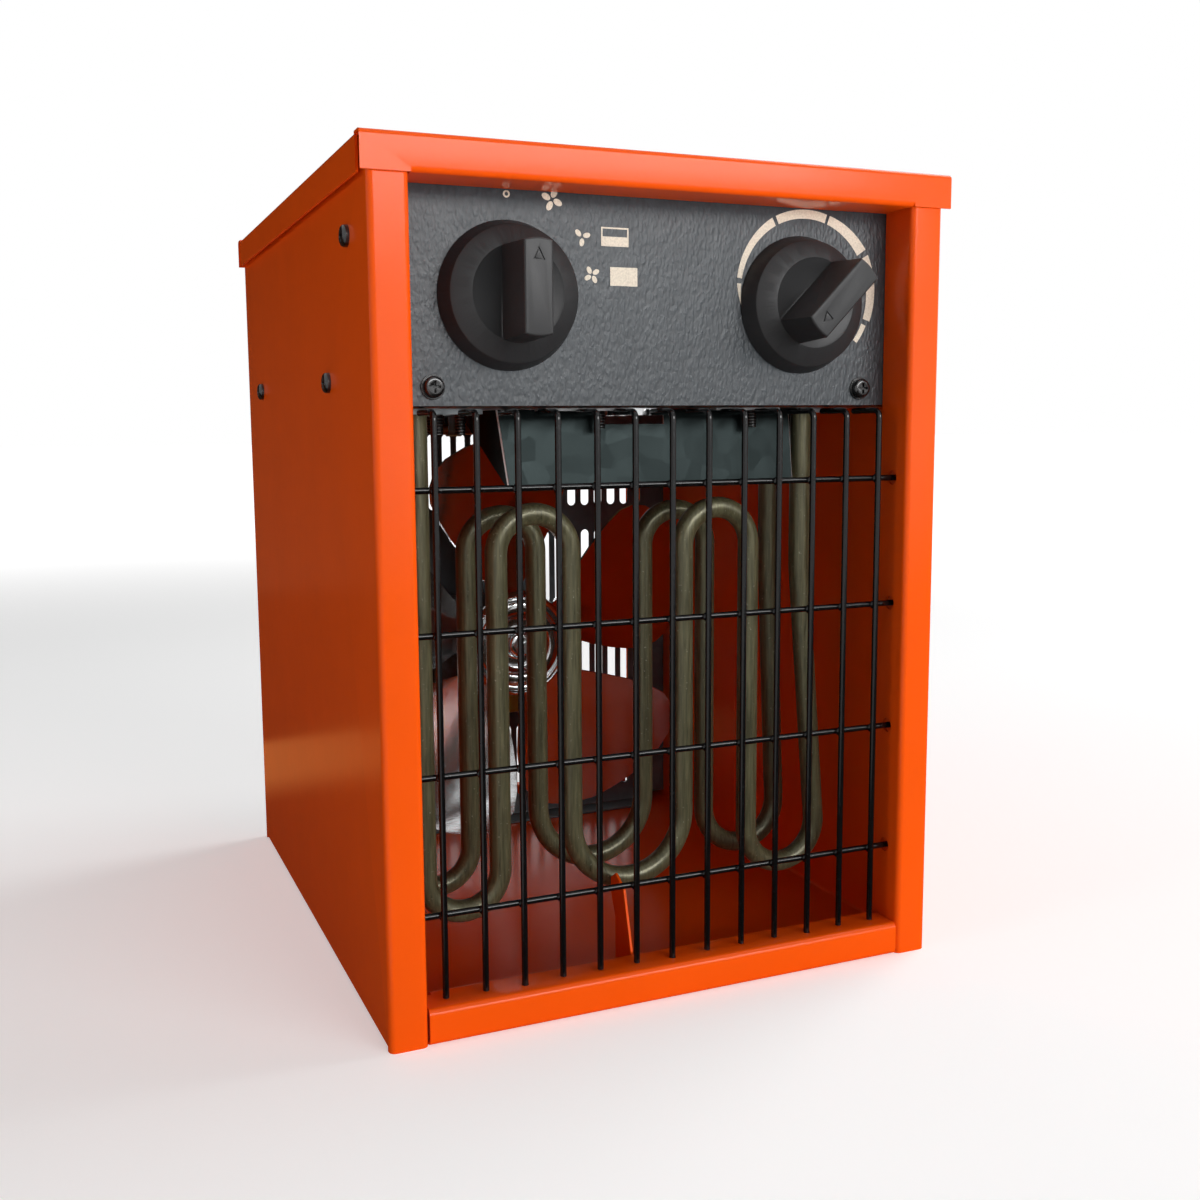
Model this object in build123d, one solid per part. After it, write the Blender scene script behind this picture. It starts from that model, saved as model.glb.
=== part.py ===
from build123d import *
import os
from math import cos, radians, sin

# Greenhouse fan heater: a folded sheet box with the heated air duct below and the controls above.
# Width runs along X, depth along Y from the front face, height along Z from the base.
# Every size is in millimetres and every angle in degrees.

# Overall sizes
BODY_WIDTH = 240.0
BODY_DEPTH = 276.0
OVERALL_HEIGHT = 329.0
CONTROL_HEIGHT = 93.2

# Folded body sheet
SHEET = 1.0
BEND_RADIUS = 2.0
COLUMN_WIDTH = 15.0
FRONT_RETURN = 17.7
REAR_RETURN = 24.0
RAIL_HEIGHT = 14.0
LEDGE_DEPTH = 18.0
REAR_LEDGE_DEPTH = 9.0
LEDGE_LIP = 5.0
CORNER_NOTCH = 4.5
SEAM = 0.4

# Top cover
COVER_LIP = 13.5
COVER_SIDE_OVERHANG = 2.5
COVER_END_OVERHANG = 1.6
COVER_BEND = 1.5
COVER_SEAT = 0.3
COVER_CORNER_SEAM = 4.5
COVER_SCREW_DROP = 6.8

# Clearances
SHEET_GAP = 0.3
SIDE_FIT = 0.4
SCREW_FIT = 0.1
RUNNING_FIT = 0.05
BORE_FIT = 0.3

# Control panel
PANEL_SHEET = 1.2
PANEL_FLANGE = 25.0
PANEL_RELIEF = 3.4
PANEL_RISE = 0.8
PANEL_TOP_GAP = 0.7
PANEL_SCREW_GAP = 12.0
PANEL_SCREW_RISE = 7.7
KNOB_SIDE_GAP = 14.3
KNOB_LIFT = 1.35

# Divider shelf
SHELF_FRONT_FLANGE = 12.0
SHELF_REAR_FLANGE = 14.0
SHELF_SIDE_FLANGE = 16.5
SHELF_FLANGE_START = 28.0
SHELF_FLANGE_END = 31.5
SHELF_EDGE_RELIEF = 2.6
SHELF_BEND = 1.2

# Rear panel
REAR_GAP = 1.0
REAR_FLANGE = 28.0
REAR_FLANGE_DROP = 10.0
REAR_FOOT = 14.0
REAR_FOOT_INSET = 17.0
REAR_TOP_GAP = 3.0
SLOT_COUNT = 25
SLOT_ROWS = 4
SLOT_WIDTH = 5.2
SLOT_ROW_GAP = 14.3
SLOT_EDGE = 18.2
SLOT_FLOOR_GAP = 12.3
SLOT_SHELF_GAP = 10.4
MOTOR_FIELD = 36.0
SHELF_SCREW_X = 60.0
SHELF_SCREW_RISE = 9.0

# Screws
SCREW_D = 4.0
SCREW_HEAD_D = 8.0
SCREW_HEAD_H = 2.5
WASHER_D = 9.2
WASHER_H = 0.8
NUT_AF = 7.0
NUT_H = 3.2
SIDE_SCREW_LENGTH = 7.5
PANEL_SCREW_LENGTH = 9.0
FRONT_SIDE_SCREW_Y = 13.2
FRONT_SIDE_SCREW_DROP = 31.1
SHELF_SIDE_SCREW_Y = 51.9
SHELF_SIDE_SCREW_RISE = 10.9
REAR_SIDE_SCREW_Y = 20.4
REAR_SIDE_SCREW_RISE = 12.1

# Front grille
WIRE_D = 2.5
UPRIGHT_COUNT = 13
CROSS_COUNT = 4
GRILLE_DEPTH = 7.5
GRILLE_SIDE_GAP = 9.0
GRILLE_TOP_GAP = 1.6
GRILLE_HOOK = 18.0
GRILLE_BEND = 3.0
GRILLE_FOOT_GAP = 0.6
GRILLE_PEG = 6.5
PEG_SPACING = 4
CROSS_FLOOR_GAP = 32.2
CROSS_SHELF_GAP = 29.7
CROSS_REACH = 2.5
CROSS_HOLE_D = 5.8
WELD_GAP = 0.05

# Heating elements
TUBE_D = 9.0
FRONT_ROW_DEPTH = 43.0
REAR_ROW_DEPTH = 82.0
ELEMENT_SHIFT = -3.0
ELEMENT_WALL_GAP = 29.2
WIDE_BEND = 26.0
ELEMENT_TOP_GAP = 41.8
ELEMENT_FLOOR_GAP = 32.0
MIDDLE_BEND_RISE = 3.8
REAR_ROW_DROP = 3.0
FRONT_LEAN = 4.6
REAR_LEAN = 2.3
FRONT_LEAN_OUT = 3.2
REAR_LEAN_OUT = 6.4
LEAN_RISE = 68.8
LEAN_RADIUS = 40.0
SHEATH_RISE = 6.0
INSULATOR_D = 8.0
INSULATOR_H = 7.0
TERMINAL_D = 3.6
TERMINAL_GAP = 1.2
FLANGE_SHEET = 2.0
FLANGE_WIDTH = 14.0
FLANGE_EDGE = 7.0
FLANGE_PITCH = 9.0
FLANGE_SCREW_GAP = 0.5
FLANGE_END = 7.0
FLANGE_SCREW_REACH = 8.0

# Element rest on the floor
REST_X = -12.3
REST_SHEET = 1.2
REST_TOP = 42.6
REST_FOOT = 12.0
REST_WIDTH = 15.0
REST_HEAD = 9.0
REST_NECK_Z = 23.6

# Air baffle
BAFFLE_SHEET = 1.0
BAFFLE_LEFT_GAP = 7.2
BAFFLE_RIGHT_GAP = 1.7
BAFFLE_SKEW = 3.3
BAFFLE_HEIGHT = 31.5
BAFFLE_Y = 40.0
BAFFLE_SLANT = 4.0
BAFFLE_TAB = 13.0
GUSSET_LENGTH = 48.0
BAFFLE_NOTCH = 6.0
BAFFLE_SCREW_DEPTH = 33.0
BAFFLE_TAB_INSETS = (15.6, 12.0)
BAFFLE_TAB_GAPS = (0.5, 18.0)
BAFFLE_SCREW_SHARES = (0.864, 0.667)

# Thermal cut-out
CUTOUT_X = -1.5
CUTOUT_DEPTH = 39.5
CUTOUT_CAP_D = 25.0
CUTOUT_CAP_H = 2.8
CUTOUT_BODY_D = 17.0
CUTOUT_BODY_H = 13.0

# Knobs
SKIRT_D = 55.0
SKIRT_FRONT_D = 50.0
SKIRT_DEPTH = 7.5
DISC_D = 35.6
KNOB_GAP = 0.5
KNOB_WALL = 2.2
DISC_RISE = 4.0
DISC_DISH = 0.5
KNOB_EDGE = 0.8
KNOB_SOCKET = 13.2
GRIP_REACH = 14.0
GRIP_BASE = 13.0
GRIP_FACE = 10.8
GRIP_BASE_D = 36.0
GRIP_FACE_D = 34.0
BOSS_D = 13.0
MARK_SIZE = 4.6
MARK_LINE = 0.5
MARK_DEPTH = 0.4
MARK_RADIUS = 11.6
SHAFT_D = 6.0
COLLAR_D = 10.0
COLLAR_REACH = 2.2
THERMOSTAT_START = 225.0

# Rotary switch
SWITCH_SIZE = 38.0
SWITCH_DEPTH = 30.0
SWITCH_WALL = 2.0
SWITCH_BACK = 3.0
CONTROL_SCREW_X = 14.0
CONTROL_SCREW_D = 3.0
CONTROL_SCREW_HEAD_D = 5.6
CONTROL_SCREW_HEAD_H = 1.9
CONTROL_SCREW_LENGTH = 7.0
CAM_D = 22.0
CAM_LENGTH = 14.0
BLADE_WIDTH = 6.3
BLADE_SHEET = 0.8
BLADE_LENGTH = 9.0

# Capillary thermostat
THERMOSTAT_WIDTH = 42.0
THERMOSTAT_HEIGHT = 34.0
THERMOSTAT_DEPTH = 28.0
BELLOWS_D = 20.0
BELLOWS_H = 3.0
CAPILLARY_D = 1.6
CAPILLARY_DROP = 11.0
CAPILLARY_STEP = 22.0
CAPILLARY_RUN = 40.0
CAPILLARY_BEND = 7.0
BULB_D = 6.0
BULB_LENGTH = 60.0
BULB_SHELF_GAP = 7.8
BULB_REAR_GAP = 18.0
CLIP_SHEET = 0.8
CLIP_WIDTH = 8.0
CLIP_X = 18.0
GROMMET_BORE = 3.4
GROMMET_HOLE_D = 8.0
GROMMET_D = 11.0
GROMMET_LIP = 1.5
CABLE_GROMMET_BORE = 6.0
CABLE_GROMMET_HOLE_D = 11.0
CABLE_GROMMET_D = 14.0
CABLE_MOTOR_GAP = 15.0
CABLE_HOLE_GAP = 14.0

# Fan and motor
FAN_WALL_GAP = 12.0
FAN_SHELF_GAP = 10.4
FAN_DROP = 2.4
BLADE_COUNT = 5
FIRST_BLADE = 21.0
FAN_BLADE_SHEET = 1.2
ROOT_PITCH = 32.0
TIP_PITCH = 20.0
BLADE_ROOT_HALF = 10.0
BLADE_WAIST_HALF = 21.0
BLADE_WAIST_R = 60.0
BLADE_SPREAD = 28.0
BLADE_CORNER = 17.0
HUB_D = 56.0
HUB_SHEET = 1.5
HUB_RIM_D = 46.0
HUB_RIM_WIDTH = 6.0
HUB_RIM_DROP = 2.0
HUB_BEND = 2.2
HUB_DISH_D = 29.0
HUB_DISH = 7.0
HUB_DEPTH = 22.0
HUB_BOSS_D = 13.0
HUB_SETBACK = 20.0
BLADE_SETBACK = 25.5
FAN_SHAFT_D = 5.0
HUB_NUT_AF = 8.0
HUB_NUT_H = 4.0
SHAFT_TIP = 3.0
STACK_DEPTH = 16.0
STACK_HALF = 30.0
STACK_TOP = 20.0
STACK_BOTTOM = 40.0
ROTOR_D = 26.0
ROTOR_GAP = 0.4
ROTOR_LENGTH = 18.0
LEG_HEIGHT = 12.0
WINDOW_HALF = 18.0
COIL_HALF = 14.0
COIL_BUILD = 6.5
BOBBIN_WALL = 1.0
COIL_CORNER = 3.0
BRACKET_SHEET = 1.5
BRACKET_WIDTH = 14.0
BRACKET_RISE = 7.0
BRACKET_STEP = 12.0
BRACKET_SLOPE = 5.0
BRACKET_BEND = 2.0
BEARING_D = 9.0
BEARING_LENGTH = 6.0
BEARING_CUP = 1.5
MOTOR_SCREW_X = 24.0
SPACER_LENGTH = 8.5
SPACER_D = 9.0

# Supply connection
GLAND_SIDE_GAP = 30.0
GLAND_RISE = 47.0
GLAND_THREAD_D = 16.0
GLAND_BORE_D = 8.0
GLAND_FLANGE_D = 22.0
GLAND_FLANGE_H = 5.0
GLAND_DOME_D = 19.0
GLAND_DOME_H = 12.0
GLAND_THREAD_LENGTH = 11.0
GLAND_ROUND = 3.0
LOCKNUT_AF = 21.0
LOCKNUT_H = 4.5
BLOCK_WIDTH = 36.0
BLOCK_DEPTH = 20.0
BLOCK_HEIGHT = 16.0
BLOCK_REAR_GAP = 46.0
BLOCK_WAYS = 3
BLOCK_SCREW_D = 4.0
WIRE_COVER_D = 2.2
WIRE_BEND = 7.0
WIRE_LOOP = 16.0
WIRE_END_GAP = 0.3
EARTH_SIDE_GAP = 23.0
EARTH_DEPTH = 160.0

# Places worked out from the sizes above
HALF = BODY_WIDTH / 2
INNER = HALF - SHEET
COLUMN_INNER = HALF - COLUMN_WIDTH
FOLD = BEND_RADIUS + SHEET / 2
SHELL_TOP = OVERALL_HEIGHT - SHEET - COVER_SEAT
PANEL_Y = FRONT_RETURN + SHEET_GAP
PANEL_BACK = PANEL_Y + PANEL_SHEET
PANEL_HALF = INNER - SIDE_FIT
SHELF_Z = OVERALL_HEIGHT - CONTROL_HEIGHT
SHELF_TOP = SHELF_Z + SHEET
SHELF_Y = PANEL_BACK + SHEET_GAP
REAR_Y = BODY_DEPTH - REAR_RETURN - REAR_GAP - SHEET
REAR_BACK = REAR_Y + SHEET
SHELF_END = REAR_Y - SIDE_FIT
PANEL_BOTTOM = SHELF_Z + PANEL_RISE
PANEL_TOP = SHELL_TOP - PANEL_TOP_GAP
PANEL_SCREW_X = COLUMN_INNER - PANEL_SCREW_GAP
KNOB_X = COLUMN_INNER - KNOB_SIDE_GAP - SKIRT_D / 2
KNOB_RISE = (CONTROL_HEIGHT - COVER_LIP) / 2 + KNOB_LIFT
KNOB_Z = SHELF_Z + KNOB_RISE
TERMINAL_LENGTH = KNOB_RISE - THERMOSTAT_HEIGHT / 2 - SHEET - SHEATH_RISE - TERMINAL_GAP
FAN_Z = (SHELF_Z + SHEET) / 2 - FAN_DROP
FAN_R = min(INNER - FAN_WALL_GAP, FAN_Z - SHEET - FAN_SHELF_GAP + FAN_DROP)
STACK_REAR = REAR_Y - SPACER_LENGTH - BRACKET_SHEET
STACK_FRONT = STACK_REAR - STACK_DEPTH
BLADE_Y = STACK_FRONT - BLADE_SETBACK
HUB_FRONT = BLADE_Y - HUB_SETBACK
GLAND_X = COLUMN_INNER - GLAND_SIDE_GAP
GLAND_Z = SHELF_Z + GLAND_RISE
BULB_Y = REAR_Y - BULB_REAR_GAP
BULB_Z = SHELF_Z - BULB_SHELF_GAP
BLOCK_Y = REAR_Y - BLOCK_REAR_GAP
ORIGIN_Y = (BODY_DEPTH + COVER_END_OVERHANG + SCREW_HEAD_H - GRIP_REACH) / 2
CABLE_HOLE = (STACK_HALF + CABLE_MOTOR_GAP, REAR_Y - CABLE_HOLE_GAP)
FLANGE_REACH = (TUBE_D + SCREW_HEAD_D) / 2 + FLANGE_SCREW_GAP
FLANGE_LENGTH = FLANGE_EDGE + FLANGE_REACH + FLANGE_PITCH + FLANGE_END


def box(x, y, z):
    """A block between two X, two Y and two Z values."""
    middle = Pos((x[0] + x[1]) / 2, (y[0] + y[1]) / 2, (z[0] + z[1]) / 2)
    return middle * Box(x[1] - x[0], y[1] - y[0], z[1] - z[0])


def rod_x(y, z, x, diameter):
    """A round bar along X."""
    return Pos((x[0] + x[1]) / 2, y, z) * Rot(0, 90, 0) * Cylinder(diameter / 2, abs(x[1] - x[0]))


def rod_y(x, z, y, diameter):
    """A round bar along Y."""
    return Pos(x, (y[0] + y[1]) / 2, z) * Rot(90, 0, 0) * Cylinder(diameter / 2, abs(y[1] - y[0]))


def rod_z(x, y, z, diameter):
    """A round bar along Z."""
    return Pos(x, y, (z[0] + z[1]) / 2) * Cylinder(diameter / 2, abs(z[1] - z[0]))


def along_x(profile, x):
    """A profile of depth and height, drawn out along X."""
    return extrude(Plane.YZ.offset(x[0]) * profile, amount=x[1] - x[0])


def along_y(profile, y):
    """A profile of width and height, drawn out along Y."""
    return extrude(Plane.XZ.offset(-y[1]) * profile, amount=y[1] - y[0])


def along_z(profile, z):
    """A profile of width and depth, drawn out along Z."""
    return extrude(Plane.XY.offset(z[0]) * profile, amount=z[1] - z[0])


def fold(points, radius, sheet):
    """The edge view of a folded sheet that follows the given middle line."""
    return trace(FilletPolyline(*points, radius=radius), line_width=sheet)


def turned(points):
    """A piece turned about the Y axis from its half section of radius and depth."""
    return revolve(make_face(Polyline(*points, close=True)), axis=Axis.Y)


def mirrored(shape):
    return mirror(shape, about=Plane.YZ)


def screw(shank, length, head, head_height):
    """A cross-recessed pan screw that points down, with its head above Z = 0."""
    dome = Cylinder(head / 2, head_height, align=(Align.CENTER, Align.CENTER, Align.MIN))
    dome = fillet(dome.edges().sort_by(Axis.Z)[-1], head_height * 0.6)
    arm = head * 0.56
    slot = head * 0.12
    cut = head_height * 0.6
    recess = Pos(0, 0, head_height) * (Box(arm, slot, 2 * cut) + Box(slot, arm, 2 * cut))
    return dome - recess + rod_z(0, 0, (-length, 0), shank)


def hexagon(across, height, bore):
    """A plain nut that stands on Z = 0."""
    prism = extrude(RegularPolygon(across / 2, 6, major_radius=False), amount=height)
    return prism - rod_z(0, 0, (-1, height + 1), bore)


FACING_FRONT = Rot(90, 0, 0)
FACING_REAR = Rot(-90, 0, 0)
FACING_LEFT = Rot(0, -90, 0)
FACING_RIGHT = Rot(0, 90, 0)


def side_screw_places():
    """Depth and height of the three screws on each side."""
    return [
        (PANEL_Y + FRONT_SIDE_SCREW_Y, OVERALL_HEIGHT - FRONT_SIDE_SCREW_DROP),
        (PANEL_Y + SHELF_SIDE_SCREW_Y, SHELF_Z + SHELF_SIDE_SCREW_RISE),
        (REAR_Y - REAR_SIDE_SCREW_Y, SHELF_Z + REAR_SIDE_SCREW_RISE),
    ]


def upright_xs():
    reach = COLUMN_INNER - GRILLE_SIDE_GAP
    pitch = 2 * reach / (UPRIGHT_COUNT - 1)
    return [-reach + i * pitch for i in range(UPRIGHT_COUNT)]


def peg_xs():
    """The uprights that stand in holes of the ledge, counted out from the middle one."""
    middle = UPRIGHT_COUNT // 2
    return [upright_xs()[middle + i * PEG_SPACING] for i in (-1, 0, 1)]


def cross_zs():
    low = RAIL_HEIGHT + CROSS_FLOOR_GAP
    high = SHELF_Z - CROSS_SHELF_GAP
    return [low + i * (high - low) / (CROSS_COUNT - 1) for i in range(CROSS_COUNT)]


def cross_y():
    return GRILLE_DEPTH + WIRE_D + WELD_GAP


def body_shell():
    wall = SHEET / 2
    side = HALF - wall
    trough = [(-side, SHELL_TOP), (-side, wall), (side, wall), (side, SHELL_TOP)]
    shell = along_y(fold(trough, BEND_RADIUS, SHEET), (FOLD, BODY_DEPTH - FOLD))
    shell += column(0, 1, FRONT_RETURN)
    shell += column(BODY_DEPTH, -1, REAR_RETURN)
    shell += rail(0, 1, LEDGE_DEPTH)
    shell += rail(BODY_DEPTH, -1, REAR_LEDGE_DEPTH)
    for x in peg_xs():
        shell -= rod_z(x, GRILLE_DEPTH, (RAIL_HEIGHT - 2 * SHEET, RAIL_HEIGHT + 1), WIRE_D + SIDE_FIT)
    for z in cross_zs():
        hole = rod_x(cross_y(), z, (COLUMN_INNER - 1, COLUMN_INNER + 2 * SHEET), CROSS_HOLE_D)
        shell -= hole + mirrored(hole)
    for y, z in side_screw_places():
        hole = rod_x(y, z, (HALF - 2 * SHEET, HALF + 1), SCREW_D + 2 * SCREW_FIT)
        shell -= hole + mirrored(hole)
    end = (BODY_DEPTH - 2 * SHEET, BODY_DEPTH + 1)
    hole = rod_y(cover_screw_x(), cover_screw_z(), end, SCREW_D + 2 * SCREW_FIT)
    return shell - hole - mirrored(hole)


def column(face, inward, depth):
    """Both flanges of one end with their returns, full height."""
    wall = SHEET / 2
    near = face + inward * wall
    inner = COLUMN_INNER + wall
    outer = HALF - wall
    points = [
        (inner, face + inward * depth),
        (inner, near),
        (outer, near),
        (outer, face + inward * (FOLD + SHEET)),
    ]
    right = along_z(fold(points, BEND_RADIUS, SHEET), (0, SHELL_TOP))
    return right + mirrored(right)


def rail(face, inward, depth):
    """The low front or rear edge of the floor, folded up, back and down."""
    wall = SHEET / 2
    near = face + inward * wall
    far = face + inward * (depth - wall)
    points = [
        (far, RAIL_HEIGHT - LEDGE_LIP),
        (far, RAIL_HEIGHT - wall),
        (near, RAIL_HEIGHT - wall),
        (near, wall),
        (face + inward * (FOLD + SHEET), wall),
    ]
    half = COLUMN_INNER - SEAM
    bar = along_x(fold(points, BEND_RADIUS, SHEET), (-half, half))
    ys = sorted((face + inward * (depth - CORNER_NOTCH), face + inward * (depth + 1)))
    notch = box((half - CORNER_NOTCH, half + 1), ys, (RAIL_HEIGHT - LEDGE_LIP - 1, RAIL_HEIGHT + 1))
    return bar - notch - mirrored(notch)


def cover_screw_x():
    return (COLUMN_INNER + HALF) / 2


def cover_screw_z():
    return OVERALL_HEIGHT - COVER_SCREW_DROP


def top_cover():
    wall = SHEET / 2
    top = OVERALL_HEIGHT - wall
    low = OVERALL_HEIGHT - COVER_LIP
    wide = HALF + COVER_SIDE_OVERHANG
    front = -COVER_END_OVERHANG
    rear = BODY_DEPTH + COVER_END_OVERHANG
    bend = COVER_BEND + wall
    sides = [(-wide + wall, low), (-wide + wall, top), (wide - wall, top), (wide - wall, low)]
    inner_end = front + bend + COVER_CORNER_SEAM
    cover = along_y(fold(sides, COVER_BEND, SHEET), (inner_end, rear - inner_end + front))
    bead = low + 2 * bend
    front_lip = [(front + wall, bead), (front + wall, top), (inner_end + 1, top)]
    cover += along_x(fold(front_lip, COVER_BEND, SHEET), (-wide, wide))
    rear_lip = [(rear - wall, low), (rear - wall, top), (rear - inner_end + front - 1, top)]
    cover += along_x(fold(rear_lip, COVER_BEND, SHEET), (-wide, wide))
    flange_half = COLUMN_INNER - SHEET_GAP
    flange = [(PANEL_Y - SIDE_FIT, low + wall), (front + wall, low + wall), (front + wall, bead)]
    cover += along_x(fold(flange, COVER_BEND, SHEET), (-flange_half, flange_half))
    corner = box((flange_half, wide), (front, front + SHEET), (low, bead))
    cover += corner + mirrored(corner)
    hole = rod_y(cover_screw_x(), cover_screw_z(), (rear - 2 * SHEET, rear + 1), SCREW_D + 2 * SCREW_FIT)
    return cover - hole - mirrored(hole)


def control_panel():
    wall = PANEL_SHEET / 2
    side = PANEL_HALF - wall
    face = PANEL_Y + wall
    back = PANEL_Y + PANEL_FLANGE
    tray = [(-side, back), (-side, face), (side, face), (side, back)]
    fold_top = PANEL_BOTTOM + PANEL_RELIEF
    panel = along_z(fold(tray, BEND_RADIUS, PANEL_SHEET), (fold_top, PANEL_TOP))
    edge = PANEL_HALF - BEND_RADIUS - PANEL_SHEET
    panel += box((-edge, edge), (PANEL_Y, PANEL_BACK), (PANEL_BOTTOM, fold_top + PANEL_SHEET))
    through = (PANEL_Y - 1, PANEL_BACK + 1)
    for sign in (-1, 1):
        panel -= rod_y(sign * KNOB_X, KNOB_Z, through, COLLAR_D + BORE_FIT)
        for offset in (-CONTROL_SCREW_X, CONTROL_SCREW_X):
            place = sign * KNOB_X + offset
            panel -= rod_y(place, KNOB_Z, through, CONTROL_SCREW_D + 2 * SCREW_FIT)
        hole_z = SHELF_Z + PANEL_SCREW_RISE
        panel -= rod_y(sign * PANEL_SCREW_X, hole_z, through, SCREW_D + 2 * SCREW_FIT)
    y, z = side_screw_places()[0]
    hole = rod_x(y, z, (PANEL_HALF - 2 * PANEL_SHEET, PANEL_HALF + 1), SCREW_D + 2 * SCREW_FIT)
    return panel - hole - mirrored(hole)


def divider_shelf():
    wall = SHEET / 2
    floor = SHELF_Z + wall
    ends = [
        (SHELF_Y + wall, SHELF_Z + SHELF_FRONT_FLANGE),
        (SHELF_Y + wall, floor),
        (SHELF_END - wall, floor),
        (SHELF_END - wall, SHELF_Z + SHELF_REAR_FLANGE),
    ]
    half = PANEL_HALF - SHELF_EDGE_RELIEF
    shelf = along_x(fold(ends, SHELF_BEND, SHEET), (-half, half))
    side = PANEL_HALF - wall
    top = SHELF_Z + SHELF_SIDE_FLANGE
    sides = [(-side, top), (-side, floor), (side, floor), (side, top)]
    start = SHELF_Y + SHELF_FLANGE_START
    shelf += along_y(fold(sides, SHELF_BEND, SHEET), (start, SHELF_END - SHELF_FLANGE_END))
    through = (SHELF_Z - 1, SHELF_TOP + 1)
    for x, y in element_ends():
        shelf -= rod_z(x, y, through, TUBE_D + 2 * BORE_FIT)
    for x, y in flange_screw_places() + baffle_screw_places() + [block_screw_place(), earth_place()]:
        shelf -= rod_z(x, y, through, SCREW_D + 2 * SCREW_FIT)
    shelf -= rod_z(CUTOUT_X, CUTOUT_DEPTH, through, CUTOUT_BODY_D + 2 * BORE_FIT)
    shelf -= rod_z(*capillary_hole(), through, GROMMET_HOLE_D + 2 * SCREW_FIT)
    shelf -= rod_z(*CABLE_HOLE, through, CABLE_GROMMET_HOLE_D + 2 * SCREW_FIT)
    for sign in (-1, 1):
        place = (SHELF_Y - 1, SHELF_Y + 2 * SHEET)
        shelf -= rod_y(sign * PANEL_SCREW_X, SHELF_Z + PANEL_SCREW_RISE, place, SCREW_D + 2 * SCREW_FIT)
        place = (SHELF_END - 2 * SHEET, SHELF_END + 1)
        shelf -= rod_y(sign * SHELF_SCREW_X, SHELF_Z + SHELF_SCREW_RISE, place, SCREW_D + 2 * SCREW_FIT)
    y, z = side_screw_places()[1]
    hole = rod_x(y, z, (PANEL_HALF - 2 * SHEET, PANEL_HALF + 1), SCREW_D + 2 * SCREW_FIT)
    return shelf - hole - mirrored(hole)


def rear_panel():
    wall = SHEET / 2
    low = SHEET + SHEET_GAP
    top = SHELL_TOP - REAR_TOP_GAP
    foot_half = INNER - REAR_FOOT_INSET
    corner = (REAR_Y + wall, low + wall)
    foot = [(REAR_Y - REAR_FOOT, low + wall), corner, (REAR_Y + wall, low + RAIL_HEIGHT)]
    panel = along_x(fold(foot, SHELF_BEND, SHEET), (-foot_half, foot_half))
    panel += box((-foot_half, foot_half), (REAR_Y, REAR_BACK), (low + 2 * BEND_RADIUS, top))
    edge = PANEL_HALF
    flange_low = SHELF_Z + SHELF_BEND + 3 * SHEET
    panel += box((-edge, edge), (REAR_Y, REAR_BACK), (low + 2 * BEND_RADIUS, flange_low))
    side = PANEL_HALF - wall
    tray = [(-side, REAR_BACK - REAR_FLANGE), (-side, REAR_Y + wall)]
    tray += [(side, REAR_Y + wall), (side, REAR_BACK - REAR_FLANGE)]
    panel += along_z(fold(tray, SHELF_BEND, SHEET), (flange_low, top - REAR_FLANGE_DROP))
    panel -= rear_slots()
    through = (REAR_Y - 1, REAR_BACK + 1)
    for sign in (-1, 1):
        panel -= rod_y(sign * MOTOR_SCREW_X, FAN_Z, through, SCREW_D + 2 * SCREW_FIT)
        rise = SHELF_Z + SHELF_SCREW_RISE
        panel -= rod_y(sign * SHELF_SCREW_X, rise, through, SCREW_D + 2 * SCREW_FIT)
    panel -= rod_y(GLAND_X, GLAND_Z, through, GLAND_THREAD_D + 2 * SCREW_FIT)
    y, z = side_screw_places()[2]
    hole = rod_x(y, z, (PANEL_HALF - 2 * SHEET, PANEL_HALF + 1), SCREW_D + 2 * SCREW_FIT)
    return panel - hole - mirrored(hole)


def rear_slots():
    """Upright air slots in rows, left out where the motor hangs."""
    reach = INNER - SLOT_EDGE
    pitch = 2 * reach / (SLOT_COUNT - 1)
    low = SHEET + SLOT_FLOOR_GAP
    high = SHELF_Z - SLOT_SHELF_GAP
    length = (high - low - (SLOT_ROWS - 1) * SLOT_ROW_GAP) / SLOT_ROWS
    slots = []
    for row in range(SLOT_ROWS):
        bottom = low + row * (length + SLOT_ROW_GAP)
        beside_motor = bottom < FAN_Z + STACK_HALF and bottom + length > FAN_Z - STACK_BOTTOM
        for column_index in range(SLOT_COUNT):
            x = -reach + column_index * pitch
            if beside_motor and abs(x) < MOTOR_FIELD:
                continue
            profile = Pos(x, bottom + length / 2) * Rot(0, 0, 90) * SlotOverall(length, SLOT_WIDTH)
            slots.append(along_y(profile, (REAR_Y - 1, REAR_BACK + 1)))
    return slots


def upright_wires():
    """Bars of the grille with their tops bent back under the shelf."""
    top = SHELF_Z - GRILLE_TOP_GAP
    foot = RAIL_HEIGHT + GRILLE_FOOT_GAP
    wires = []
    for x in upright_xs():
        low = RAIL_HEIGHT - GRILLE_PEG if x in peg_xs() else foot
        line = FilletPolyline(
            (x, GRILLE_DEPTH, low),
            (x, GRILLE_DEPTH, top),
            (x, GRILLE_DEPTH + GRILLE_HOOK, top),
            radius=GRILLE_BEND,
        )
        wires.append(swept(line, WIRE_D))
    return wires


def swept(line, diameter):
    """A round bar along a line."""
    start = Plane(origin=line @ 0, z_dir=line % 0)
    return sweep(start * Circle(diameter / 2), path=line)


def cross_wires():
    reach = COLUMN_INNER + CROSS_REACH
    return [rod_x(cross_y(), z, (-reach, reach), WIRE_D) for z in cross_zs()]


def leg_xs(lean_out):
    """The six legs of an element: the wide bend in the middle, narrow bends to both sides."""
    outer = INNER - ELEMENT_WALL_GAP
    narrow = (outer - WIDE_BEND) / 4
    offsets = [WIDE_BEND, WIDE_BEND + 2 * narrow, outer]
    xs = [ELEMENT_SHIFT - o for o in reversed(offsets)] + [ELEMENT_SHIFT + o for o in offsets]
    xs[5] += lean_out
    return xs


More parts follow.
